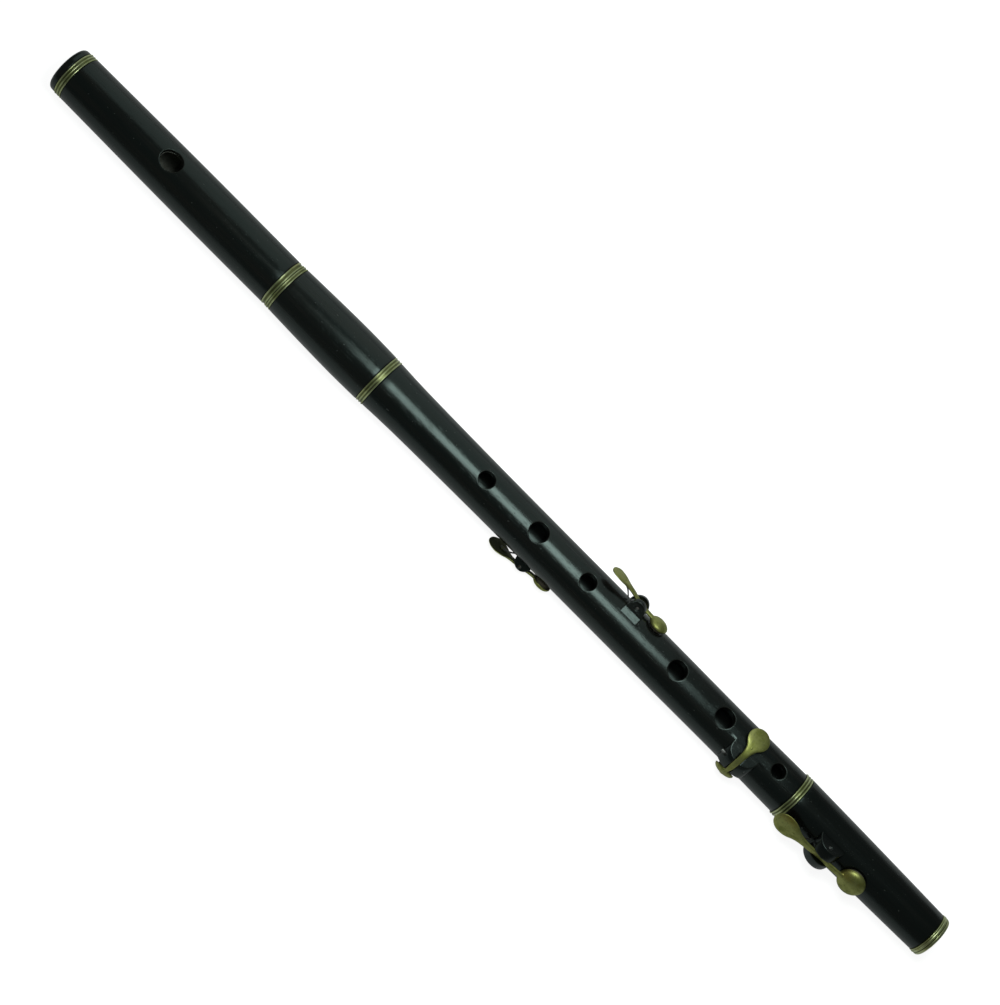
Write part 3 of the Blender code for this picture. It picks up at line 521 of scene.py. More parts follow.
def upright(way):
    """Turns what runs along X to stand along a way out of the wood."""
    return rotation("Y", math.atan2(-way.z, way.x))


SIDEWAYS = rotation("Z", TAU / 4)


def arc(count, whole=TAU / 4):
    """Cosine and sine at even steps from zero to a whole angle."""
    return [(math.cos(whole * i / count), math.sin(whole * i / count)) for i in range(count + 1)]


def on_curve(points, at):
    """The height at a place on the smooth curve that runs through (place, height) points in order."""
    slopes = []
    for i in range(len(points)):
        before = points[max(i - 1, 0)]
        after = points[min(i + 1, len(points) - 1)]
        slopes.append((after[1] - before[1]) / (after[0] - before[0]))
    last = len(points) - 2
    span = next((i for i in range(last) if at < points[i + 1][0]), last)
    (x0, y0), (x1, y1) = points[span], points[span + 1]
    step = x1 - x0
    t = (at - x0) / step
    return (
        y0 * (1 + 2 * t) * (1 - t) ** 2
        + slopes[span] * step * t * (1 - t) ** 2
        + y1 * t * t * (3 - 2 * t)
        + slopes[span + 1] * step * t * t * (t - 1)
    )


def quarter_round(x, radius, length, depth):
    """An ellipse's quarter from (x, radius) that falls by depth toward the axis over length."""
    return [(x + length * sin, radius - depth * (1 - cos)) for cos, sin in arc(8)]


def eased(outline, size=0.3, steps=4, closed=True):
    """The outline with every sharp corner made a small curve."""
    count = len(outline)
    points = [complex(*point) for point in outline]
    result = []
    for i, corner in enumerate(points):
        before, after = points[i - 1] - corner, points[(i + 1) % count] - corner
        ends = not closed and i in (0, count - 1)
        turn = 0.0
        if not ends and abs(before) >= 1e-6 and abs(after) >= 1e-6:
            ratio = after / before
            turn = abs(math.pi - abs(math.remainder(math.atan2(ratio.imag, ratio.real), TAU)))
        if turn < SHARP_TURN:
            result.append(outline[i])
            continue
        cut = min(size, CORNER_SHARE * abs(before), CORNER_SHARE * abs(after))
        start, end = corner + before / abs(before) * cut, corner + after / abs(after) * cut
        for k in range(steps + 1):
            t = k / steps
            point = start * (1 - t) ** 2 + corner * 2 * t * (1 - t) + end * t**2
            result.append((point.real, point.imag))
    return result


# Shapes, as points and faces in millimetres

@dataclass
class Shape:
    points: np.ndarray
    faces: list
    marks: dict = field(default_factory=dict)

    def moved(self, matrix):
        m = np.array(matrix.to_4x4(), float)
        return Shape(self.points @ m[:3, :3].T + m[:3, 3], self.faces, self.marks)

    def __add__(self, other):
        start = len(self.points)
        faces = self.faces + [tuple(i + start for i in face) for face in other.faces]
        return Shape(np.concatenate([self.points, other.points]), faces)


def skin(rows, columns, closed=False):
    """Faces between neighbouring rows of points, each row a closed loop."""
    faces = []
    for row in range(rows if closed else rows - 1):
        after = (row + 1) % rows
        for i in range(columns):
            j = (i + 1) % columns
            faces.append((row * columns + i, row * columns + j, after * columns + j, after * columns + i))
    return faces


def turned(outline, columns=RING_COLUMNS, x=0.0):
    """A shape turned about X from an outline of (x, radius) points, which closes unless it ends on X."""
    angles = np.arange(columns) * TAU / columns
    rows = [np.column_stack([np.full(columns, at + x), radius * np.sin(angles), radius * np.cos(angles)])
            for at, radius in outline]
    return Shape(np.concatenate(rows), skin(len(outline), columns, outline[0][1] > 0))


def lofted(sections):
    """A solid skinned over sections that all have the same number of points."""
    points = np.array([point for section in sections for point in section], float)
    count = len(sections[0])
    ends = [tuple(range(count)), tuple(range(len(points) - count, len(points)))]
    return Shape(points, skin(len(sections), count) + ends)


def prism(polygon, low, high):
    return lofted([[(x, y, z) for y, z in polygon] for x in (low, high)])


def mark(mesh, name, values):
    layer = mesh.attributes.new(name, "FLOAT", "POINT")
    layer.data.foreach_set("value", np.asarray(values, np.float32))


def mesh_of(shape):
    """The shape's mesh with its doubles merged, loose points dropped and faces turned outward."""
    mesh = bpy.data.meshes.new("form")
    mesh.from_pydata(shape.points.tolist(), [], shape.faces)
    for name, values in shape.marks.items():
        mark(mesh, name, values)
    bm = bmesh.new()
    bm.from_mesh(mesh)
    bmesh.ops.remove_doubles(bm, verts=bm.verts, dist=1e-5)
    bmesh.ops.delete(bm, geom=[v for v in bm.verts if not v.link_faces], context="VERTS")
    bmesh.ops.recalc_face_normals(bm, faces=bm.faces)
    bm.to_mesh(mesh)
    bm.free()
    return mesh


def wear_edges(mesh, low, high):
    """Marks every point by how sharply the mesh bends outward there."""
    bm = bmesh.new()
    bm.from_mesh(mesh)
    bends = [sum(edge.calc_face_angle_signed(0.0) for edge in v.link_edges) / len(v.link_edges)
             for v in bm.verts]
    bm.free()
    mark(mesh, "worn", np.clip((np.array(bends) - low) / (high - low), 0.0, 1.0))


def painted_shade_underside(mesh):
    """Marks painted shade on each point of a key by how far it, in the flute's frame, looks back at the wood.
    """
    points, normals = np.empty((2, 3 * len(mesh.vertices)))
    mesh.vertices.foreach_get("co", points)
    mesh.vertices.foreach_get("normal", normals)
    out = points.reshape(-1, 3) * (0.0, 1.0, 1.0)
    under = -(normals.reshape(-1, 3) * out).sum(axis=1) / np.linalg.norm(out, axis=1)
    mark(mesh, "groove", 0.9 * np.clip((under - 0.15) / 0.5, 0.0, 1.0))


def placed(name, data):
    obj = bpy.data.objects.new(name, data)
    bpy.context.scene.collection.objects.link(obj)
    return obj


def baked(obj):
    """The object's mesh with its modifiers applied; the object itself is dropped."""
    graph = bpy.context.evaluated_depsgraph_get()
    mesh = bpy.data.meshes.new_from_object(obj.evaluated_get(graph))
    bpy.data.objects.remove(obj)
    return mesh


def worked(mesh, steps, voxel=None, smoothing=0):
    """The mesh after boolean steps of (operation, tool's mesh), a voxel remesh and some smoothing."""
    obj = placed("form", mesh)
    tools = [placed("tool", tool) for operation, tool in steps]
    for (operation, _), tool in zip(steps, tools):
        modifier = obj.modifiers.new("boolean", "BOOLEAN")
        modifier.operation = operation
        modifier.solver = "MANIFOLD"
        modifier.object = tool
    if voxel:
        remesh = obj.modifiers.new("remesh", "REMESH")
        remesh.mode = "VOXEL"
        remesh.voxel_size = voxel
    if smoothing:
        smooth = obj.modifiers.new("smooth", "SMOOTH")
        smooth.factor = 0.5
        smooth.iterations = smoothing
    made = baked(obj)
    for tool in tools:
        bpy.data.objects.remove(tool)
    return made


def piece(name, mesh, material, body, slot, *nodes, sharp=40.0):
    """A finished piece from a mesh in the flute's frame. A body given as a tuple, of two bodies and where a
    bend starts and ends, leaves the piece unattached in the world's frame; those bodies and the bend's ends
    are not used."""
    mesh.name = name
    mesh.transform(TO_MODEL)
    mesh.shade_smooth()
    mesh.set_sharp_from_angle(angle=math.radians(sharp))
    mesh.materials.clear()
    mesh.materials.append(material)
    obj = placed(name, mesh)
    if isinstance(body, tuple):
        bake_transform(obj)
    else:
        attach(obj, body)
    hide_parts(*nodes)
    return obj


# Wood with holes

@dataclass
class Hole:
    """A hole through the wall: its ellipse in the plane that it looks through, and its pad's seat."""

    at: float
    half_length: float
    half_width: float
    angle: float
    seat: float = 0.0
    level: float = 0.0
    rim: float = HOLE_RIM

    @property
    def reach(self):
        return max(self.half_length, self.seat) + HOLE_MARGIN

    def rows(self):
        """Places of the rows of points across the hole."""
        return [self.at - self.reach + 2 * self.reach * i / PATCH_ROWS for i in range(PATCH_ROWS + 1)]


def row_places(start, end, holes, step=ROW_STEP):
    """Places of the rows from start to end: even ones, and a fixed number across each hole."""
    places = []
    at = start
    for hole in sorted(holes, key=lambda each: each.at):
        rows = hole.rows()
        count = max(1, round((rows[0] - at) / step))
        places += [at + (rows[0] - at) * i / count for i in range(count)] + rows[:-1]
        at = rows[-1]
    count = max(1, round((end - at) / step))
    return places + [at + (end - at) * i / count for i in range(count + 1)]


def fillet(size, out):
    """How deep a rounded rim of this size lies at a distance outside its hole."""
    return size - math.sqrt(max(size**2 - (size - out) ** 2, 0.0))


def patch_rings(hole, outer, inner):
    """Rings of (along, across, out) points from the outside of the wood through the hole to the bore, with
    how worn and how far inside each one is."""
    share = []
    for side, count in enumerate((PATCH_COLUMNS, PATCH_ROWS) * 2):
        share += [side + i / count for i in range(count)]
    turn = np.radians(225.0 - 90.0 * np.array(share))
    cos, sin = np.cos(turn), np.sin(turn)
    opening, seat = (hole.half_length, hole.half_width), (hole.seat, hole.seat)
    rings = []

    def add(size, extra, radius_at, worn, inside, level=lambda out: out):
        """A ring round an ellipse and extra, on the surface or at the level that is worked out from it."""
        long, wide = size
        u, v = (long + extra) * cos, (wide + extra) * sin
        radius = np.array([radius_at(hole.at + x) for x in u])
        rings.append(((u, v, level(np.sqrt(radius**2 - v**2))), worn, inside))

    if hole.seat:
        add(seat, 0.3, outer, 0.2, 0.0)
        add(seat, 0.1, outer, 0.6, 0.0, lambda out: out - 0.06)
        for part in (0.8, 0.4, 0.1):
            add(seat, 0.0, outer, 0.3, 0.3, lambda out: hole.level + part * (out - hole.level))
        for extra in (-0.15, -0.5):
            add(seat, extra, outer, 0.0, 0.6, lambda out: 0 * out + hole.level)
        for part in (1.0, 0.5, 0.2, 0.0):
            add(opening, part * hole.rim, outer, 0.1, 0.8,
                lambda out: 0 * out + (hole.level - fillet(hole.rim, part * hole.rim)))
    else:
        for part, worn in ((1.0, 0.3), (0.62, 0.9), (0.33, 1.0), (0.12, 0.8), (0.0, 0.4)):
            add(opening, part * hole.rim, outer, worn, 0.15 * (1 - part),
                lambda out: out - fillet(hole.rim, part * hole.rim))
    top = rings[-1][0][2]
    for part in (0.25, 0.5, 0.75):
        add(opening, 0.0, inner, 0.0, 0.4 + part, lambda low: top + part * (low + BORE_RIM - top))
    for part in (0.0, 0.3, 1.0):
        add(opening, part * BORE_RIM, inner, 0.0, 1.0, lambda low: low + fillet(BORE_RIM, part * BORE_RIM))
    return rings


def bored_wood(curve, span, bore, holes, x, before=(), after=(), bore_before=()):
    """A turned joint with its holes worked into its wall. Its outside follows the curve over the span,
    between outlines before and after it, and its inside follows the bore after an outline before it."""
    columns = WOOD_COLUMNS
    (x0, r0), (x1, r1) = bore

    def outer_at(at):
        return on_curve(curve, at)

    def inner_at(at):
        return r0 + (r1 - r0) * (at - x0) / (x1 - x0)

    outer_rows = [(at, outer_at(at)) for at in row_places(*span, holes)]
    inner_rows = [(at, inner_at(at)) for at in reversed(row_places(x0, x1, holes))]
    outline = eased([*before, *outer_rows, *after, *inner_rows, *bore_before])
    shape = turned(outline, columns)
    index = {(round(at, 5), round(radius, 5)): row for row, (at, radius) in enumerate(outline)}
    inside = np.array([1.0 if radius < inner_at(at) + BORE_RIM else 0.0 for at, radius in outline])
    points, faces, removed = [shape.points], [], set()
    worn = [np.zeros(len(shape.points))]
    within = [np.repeat(inside, columns)]
    total = len(shape.points)
    for hole in holes:
        places = hole.rows()
        outer_index, inner_index = ([index[round(at, 5), round(radius_at(at), 5)] for at in places]
                                    for radius_at in (outer_at, inner_at))
        first = round(hole.angle / 360.0 * columns) - PATCH_COLUMNS // 2
        across = [(first + i) % columns for i in range(PATCH_COLUMNS + 1)]
        for i in range(PATCH_ROWS):
            for column in across[:-1]:
                removed |= {(outer_index[i], column), (inner_index[i + 1], column)}
        edge = [*((0, m) for m in range(PATCH_COLUMNS)), *((i, PATCH_COLUMNS) for i in range(PATCH_ROWS)),
                *((PATCH_ROWS, m) for m in range(PATCH_COLUMNS, 0, -1)),
                *((i, 0) for i in range(PATCH_ROWS, 0, -1))]
        outer_edge, inner_edge = ([rows[i] * columns + across[m] for i, m in edge]
                                  for rows in (outer_index, inner_index))
        rim_u = np.array([places[i] - hole.at for i, m in edge])
        lean = np.radians(np.array([(first + m) * 360.0 / columns - hole.angle for i, m in edge]))

        def between(ring, radius_at, shares, depth):
            """Rings on the surface between a ring near the hole and the patch's edge."""
            u, v, w = ring
            made = []
            for share in shares:
                along = rim_u * (1 - share) + u * share
                turn = lean * (1 - share) + np.arctan2(v, w) * share
                radius = np.array([radius_at(hole.at + each) for each in along])
                made.append(((along, radius * np.sin(turn), radius * np.cos(turn)), 0.0, depth))
            return made

        rings = patch_rings(hole, outer_at, inner_at)
        near = between(rings[0][0], outer_at, (0.2, 0.4, 0.6, 0.78, 0.91), 0.0)
        far = between(rings[-1][0], inner_at, (0.85, 0.6, 0.3), 1.0)
        a = math.radians(hole.angle)
        loops = [outer_edge]
        for (u, v, w), wear, depth in near + rings + far:
            points.append(np.column_stack([hole.at + u, v * math.cos(a) + w * math.sin(a),
                                           w * math.cos(a) - v * math.sin(a)]))
            worn.append(np.full(len(u), wear))
            within.append(np.full(len(u), min(depth, 1.0)))
            loops.append(list(range(total, total + len(u))))
            total += len(u)
        loops.append(inner_edge)
        for loop, next_loop in zip(loops, loops[1:]):
            for i in range(len(loop)):
                j = (i + 1) % len(loop)
                faces.append((loop[i], loop[j], next_loop[j], next_loop[i]))
    kept = [face for face in shape.faces if (face[0] // columns, face[0] % columns) not in removed]
    marks = {"worn": np.concatenate(worn), "inside": np.concatenate(within)}
    return Shape(np.concatenate(points), kept + faces, marks).moved(shift(x))


def tenon_outline(shoulder, end, radius, margin):
    """A tenon from its shoulder to its end, with the sunk band that its lapping fills."""
    way = 1 if end > shoulder else -1
    near, far = shoulder + way * margin, end - way * margin
    sunk = radius - LAPPING_DEPTH
    return [(shoulder, radius), (near, radius), (near, sunk), (far, sunk), (far, radius),
            (end - way * TENON_BEVEL, radius), (end, radius - TENON_BEVEL)]


def seat_level(key, radius):
    return math.sqrt(radius**2 - key.seat_radius**2)


def key_hole(key, curve):
    """The tone hole that a key closes."""
    turn = math.degrees(key.round_wood(on_curve(curve, key.pin_at), key.cup_at)) if key.cross else 0.0
    level = seat_level(key, on_curve(curve, key.hole_at))
    return Hole(key.hole_at, key.hole_radius, key.hole_radius, key.angle - turn, key.seat_radius, level,
                SEAT_RIM)


def pin_span(key):
    """Where the pin starts and ends, from the lever's middle."""
    if key.cross:
        return -key.block_half_length - key.pin_stub, CROSS_PIN_REACH * key.block_half_length
    return -max(key.block_sides[0], PIN_REACH * key.facet_foot), key.block_sides[1]


def pin_drill(low, high):
    """What is drilled out for a pin that runs along X."""
    play = PIN_RADIUS + PLAY
    return turned([(low, 0.0), (low, play), (high, play), (high, 0.0)], SMALL_COLUMNS)


def block_section(key, radius, inside, clear):
    """The outline that the bead is cut to, as (across, out) points: upright cheeks, or one cheek and the
    flat that leans from its foot to the wood."""
    low_side, high_side = key.block_sides
    if not key.facet_angle:
        return [(-low_side, inside), (-low_side, clear), (high_side, clear), (high_side, inside)]
    a = math.radians(key.facet_angle)
    side = math.copysign(1.0, a)
    cheek, far_cheek = (low_side, high_side) if side < 0 else (high_side, low_side)
    sunk = radius - (2 * FACET_SINK if key.facet_foot else FACET_SINK)
    wide = key.facet_foot or cheek
    foot = (side * wide, (sunk - side * wide * math.sin(a)) / math.cos(a))
    if foot[1] > clear:
        corner = [((sunk - clear * math.cos(a)) / math.sin(a), clear)]
    elif key.facet_foot:
        corner = [(side * cheek, clear), (side * cheek, foot[1] + FACET_LEAN), foot]
    else:
        corner = [(side * cheek, clear), foot]
    past = (sunk * math.sin(a) + side * math.cos(a), sunk * math.cos(a) - side * math.sin(a))
    return [(-side * far_cheek, inside), (-side * far_cheek, clear), *corner, past,
            (0.6 * past[0], 0.6 * past[1])]


def block_form(key, curve, x):
    """The block that is left in the wood: a bead turned round it, cut away outside its outline, slotted for
    the lever and drilled for the pin."""
    radius = on_curve(curve, key.pin_at)
    half, height = key.block_half_length, key.block_height
    root, clear = radius - 3 * BLOCK_ROOT, radius + height + CUT_PAST
    crest = [(-half * cos, radius + (height + BLOCK_ROOT) * sin - BLOCK_ROOT)
             for cos, sin in arc(CREST_ROWS, TAU / 2)]
    bead = turned([*crest, (half, root), (-half, root)], BEAD_COLUMNS)
    keep = prism(block_section(key, radius, 0.5 * radius, clear), -2 * half, 2 * half)
    pin = radius + key.pin_height
    floor = pin - LUG_RADIUS - SLOT_PLAY
    wide = key.neck_half_width + SLOT_PLAY
    reach = (max(key.block_sides) if key.cross else half) + 4 * CUT_PAST
    top = clear + CUT_PAST
    slot = prism([(-wide, floor), (-wide, top), (wide, top), (wide, floor)], -reach, reach)
    low, high = pin_span(key)
    drill = pin_drill(low - 2 * CUT_PAST, high if key.cross else high + 2 * CUT_PAST).moved(shift(z=pin))
    if key.cross:
        slot = slot.moved(SIDEWAYS)
    else:
        drill = drill.moved(SIDEWAYS)
    steps = [("INTERSECT", mesh_of(keep)), ("DIFFERENCE", mesh_of(slot)), ("DIFFERENCE", mesh_of(drill))]
    block = worked(mesh_of(bead), steps, BLOCK_VOXEL, 5)
    wear_edges(block, *BLOCK_WEAR)
    block.transform(shift(x + key.pin_at) @ facing(key.angle))
    return block


def with_blocks(shape, keys, curve, x):
    """The joint with the blocks of its keys grown out of it."""
    return worked(mesh_of(shape), [("UNION", block_form(key, curve, x)) for key in keys])


def between_rings(curve, upper, lower, seat_at=0.0, lean=STEP_LEAN):
    """The span of a joint between its rings, and the outlines of the seats that are sunk for them."""
    length = curve[-1][0]
    start, end = upper + SEAM, length - lower - SEAM
    seat, low_seat = (on_curve(curve, at) - RING_WALL - SEAM for at in (seat_at, length))
    return (start, end), [(0.0, seat), (start - lean, seat)], [(end + lean, low_seat), (length, low_seat)]


def make_joints(wood):
    def joint(name, mesh, node):
        piece(f"{name}_wood", mesh, wood[name], name, "blackwood", node)

    edge = quarter_round(-CAP_EDGE, CAP_RADIUS, CAP_EDGE, 0.75 * CAP_EDGE)
    outline = [(0.0, 0.0)] + [(-x, radius) for x, radius in reversed(edge)] + [(CAP_LENGTH, CAP_RADIUS)]
    tenon_end = CAP_LENGTH + CAP_TENON[0]
    outline += tenon_outline(CAP_LENGTH, tenon_end, CAP_TENON[1], CAP_LAPPING_MARGIN) + [(tenon_end, 0.0)]
    joint("cap", mesh_of(turned(eased(outline, closed=False))), "end_cap")

    span, before, after = between_rings(HEAD_CURVE, HEAD_END_RING, HEAD_LOWER_RING)
    head = bored_wood(HEAD_CURVE, span, HEAD_BORE, [Hole(*BLOW_HOLE)], HEAD_AT, before, after)
    joint("head", mesh_of(head), "head_joint")

    span, before, after = between_rings(BARREL_CURVE, BARREL_UPPER_RING, BARREL_SOCKET_RING, lean=0.0)
    rows = [(at, on_curve(BARREL_CURVE, at)) for at in row_places(*span, [], BARREL_ROW_STEP)]
    socket, wide = BARREL_LENGTH - UPPER_TENON[0] - SEAM, UPPER_TENON[1] + LAPPING_STAND + SEAM
    outline = [*before, *rows, *after, (BARREL_LENGTH, wide), (socket, wide), (socket, SLIDE_WOOD_BORE),
               (0.0, SLIDE_WOOD_BORE)]
    joint("barrel", mesh_of(turned(eased(outline), x=BARREL_AT)), "barrel")

    upper = tenon_outline(0.0, -UPPER_TENON[0], UPPER_TENON[1], LAPPING_MARGIN)
    lower = tenon_outline(BODY_LENGTH, BODY_LENGTH + LOWER_TENON[0], LOWER_TENON[1], LAPPING_MARGIN)
    holes = [Hole(*sizes) for sizes in FINGER_HOLES] + [key_hole(key, BODY_CURVE) for key in BODY_KEYS]
    body = bored_wood(BODY_CURVE, (0.0, BODY_LENGTH), BODY_BORE, holes, BODY_AT, upper[::-1], lower)
    joint("body", with_blocks(body, BODY_KEYS, BODY_CURVE, BODY_AT), "body_joint")

    span, before, after = between_rings(FOOT_CURVE, FOOT_SOCKET_RING, FOOT_END_RING, FOOT_SOCKET_RING)
    socket, wide = LOWER_TENON[0] + SEAM, LOWER_TENON[1] + LAPPING_STAND + SEAM
    foot = bored_wood(FOOT_CURVE, span, FOOT_BORE, [key_hole(D_SHARP, FOOT_CURVE)], FOOT_AT, before, after,
                      [(socket - STEP_LEAN, wide), (0.0, wide)])
    joint("foot", with_blocks(foot, (D_SHARP,), FOOT_CURVE, FOOT_AT), "foot_joint")


# Beads and lapping, which repeat

FLOAT, WHOLE, STUFF = "NodeSocketFloat", "NodeSocketInt", "NodeSocketMaterial"


def node_group(name, **inputs):
    """A geometry tree with named inputs, and wires for them."""
    tree = bpy.data.node_groups.new(name, "GeometryNodeTree")
    tree.interface.new_socket("Geometry", in_out="INPUT", socket_type="NodeSocketGeometry")
    for label, kind in inputs.items():
        tree.interface.new_socket(label, in_out="INPUT", socket_type=kind)
    tree.interface.new_socket("Geometry", in_out="OUTPUT", socket_type="NodeSocketGeometry")
    graph = Graph(tree)
    start = graph.node("NodeGroupInput")
    return graph, {label: start.output(label) for label in ("Geometry", *inputs)}


def strand(g, path, sides, radius, **values):
    """A round wire along a path that is drawn about Z, laid down to run about X."""
    profile = g.node("GeometryNodeCurvePrimitiveCircle", {"Resolution": sides, "Radius": radius})
    swept = g.node("GeometryNodeCurveToMesh", {"Curve": path, "Profile Curve": profile, **values})
    return g.node("GeometryNodeTransform", {"Geometry": swept, "Rotation": (0.0, TAU / 4, 0.0)})


def end_group(g, given, added, material):
    """Joins what a tree makes to the object's own mesh, in one material."""
    both = g.node("GeometryNodeJoinGeometry")
    for wire in (given["Geometry"], added):
        g.tree.links.new(wire.socket, both.node.inputs[0])
    real = g.node("GeometryNodeRealizeInstances", {"Geometry": both})
    done = g.node("GeometryNodeSetMaterial", {"Geometry": real, "Material": given[material]})
    g.node("NodeGroupOutput", {"Geometry": done})
    return g.tree


def bead_tree():
    """Beads round a ring: a torus on each of an even row of points along X, joined to the ring's band."""
    g, given = node_group("beads_round_a_ring", ring_radius=FLOAT, bead_radius=FLOAT, beads=WHOLE,
                          first=FLOAT, spacing=FLOAT, metal=STUFF)
    hoop = g.node("GeometryNodeCurvePrimitiveCircle", {"Resolution": RING_COLUMNS,
                                                       "Radius": given["ring_radius"]})
    bead = strand(g, hoop, 12, given["bead_radius"])
    step, first = (g.node("ShaderNodeCombineXYZ", {"X": given[name]}) for name in ("spacing", "first"))
    line = g.node("GeometryNodeMeshLine", {"Count": given["beads"], "Start Location": first, "Offset": step})
    beads = g.node("GeometryNodeInstanceOnPoints", {"Points": line, "Instance": bead})
    return end_group(g, given, beads, "metal")


def thread_tree():
    """A thread wound side by side along X, over the band that the object's own mesh gives."""
    g, given = node_group("thread_wound_on_a_tenon", winding_radius=FLOAT, thread_radius=FLOAT, turns=FLOAT,
                          length=FLOAT, thread=STUFF)
    values = {"Resolution": 40, "Rotations": given["turns"], "Start Radius": given["winding_radius"],
              "End Radius": given["winding_radius"], "Height": given["length"]}
    spiral = g.node("GeometryNodeCurveSpiral", values)
    wound = strand(g, spiral, 6, given["thread_radius"], **{"Fill Caps": True})
    return end_group(g, given, wound, "thread")


def grown(tree, shape, **values):
    """The mesh that a geometry tree makes from a shape."""
    obj = placed("form", mesh_of(shape))
    modifier = obj.modifiers.new("grown", "NODES")
    modifier.node_group = tree
    for item in tree.interface.items_tree:
        if item.in_out == "INPUT" and item.name in values:
            modifier[item.identifier] = values[item.name]
    return baked(obj)


def beaded_band(tree, at, length, radii, beads, bead_radius, metal):
    """A brass band with beads, and a hollow between each two of them."""
    start, end = radii
    crest = (start + end) / 2 + RING_STAND
    bore = min(start, end) - RING_WALL
    gaps = beads - 1
    band = []
    for i in range(HOLLOW_ROWS * gaps + 1):
        share = i / (HOLLOW_ROWS * gaps)
        hollow = abs(math.sin(math.pi * share * gaps))
        band.append((length * share,
                     crest - BAND_SINK + (end - start) * (share - 0.5) + BAND_CROWN * (1 - hollow)))
    shape = turned(eased([*band, (length, bore), (0.0, bore)], 0.15, 2))
    # The whole band under the beads is marked, so that the hollows between the beads are darker.
    shape.marks["groove"] = np.ones(len(shape.points))
    mesh = grown(tree, shape, ring_radius=crest - bead_radius, bead_radius=bead_radius, beads=beads,
                 first=bead_radius, spacing=(length - 2 * bead_radius) / gaps, metal=metal)
    mesh.transform(shift(at))
    return mesh


def make_rings(metal):
    tree = bead_tree()
    head, barrel, foot = HEAD_CURVE, BARREL_CURVE, FOOT_CURVE
    head_low, barrel_low = HEAD_LENGTH - HEAD_LOWER_RING, BARREL_LENGTH - BARREL_SOCKET_RING
    for joint, end, joint_at, curve, local, length, beads, bead_radius in (
        ("head", "end", HEAD_AT, head, 0.0, HEAD_END_RING, 3, 0.42),
        ("head", "lower", HEAD_AT, head, head_low, HEAD_LOWER_RING, 2, 0.46),
        ("barrel", "upper", BARREL_AT, barrel, 0.0, BARREL_UPPER_RING, 2, 0.38),
        ("barrel", "socket", BARREL_AT, barrel, barrel_low, BARREL_SOCKET_RING, 3, 0.40),
        ("foot", "socket", FOOT_AT, foot, 0.0, FOOT_SOCKET_RING, 3, 0.40),
    ):
        radii = (on_curve(curve, local), on_curve(curve, local + length))
        mesh = beaded_band(tree, joint_at + local, length, radii, beads, bead_radius, metal)
        piece(f"{joint}_{end}_band", mesh, metal, joint, "brass", f"{joint}_{end}_ring")

    length = FOOT_END_RING
    crest = on_curve(foot, FOOT_LENGTH - length) + 3 * RING_STAND
    bore = foot[-1][1] - RING_WALL
    # Two beads, a hollow and a rounded end, at shares of the ring's length
    outline = [(0.0, crest - 0.55)]
    for start, end, top in ((0.03, 0.22, crest - 0.12), (0.22, 0.55, crest)):
        middle, half = (start + end) / 2, (end - start) / 2
        outline += [(length * (middle - half * cos), top - 0.5 * (1 - sin)) for cos, sin in arc(8, TAU / 2)]
    outline += [(0.61 * length, crest - 0.62), *quarter_round(0.66 * length, crest - 0.2, 0.34 * length, 0.8),
                (length, bore), (0.0, bore)]
    shape = turned(eased(outline, 0.12, 2), x=FOOT_AT + FOOT_LENGTH - length)
    along = (shape.points[:, 0] - FOOT_AT - FOOT_LENGTH) / length + 1
    deep = np.hypot(shape.points[:, 1], shape.points[:, 2]) < crest - 0.36
    # The hollow and the low slopes before the rounded end are marked to be darker.
    shape.marks["groove"] = (deep & (along < 0.70)).astype(float)
    piece("foot_end_band", mesh_of(shape), metal, "foot", "brass", "foot_end_ring")


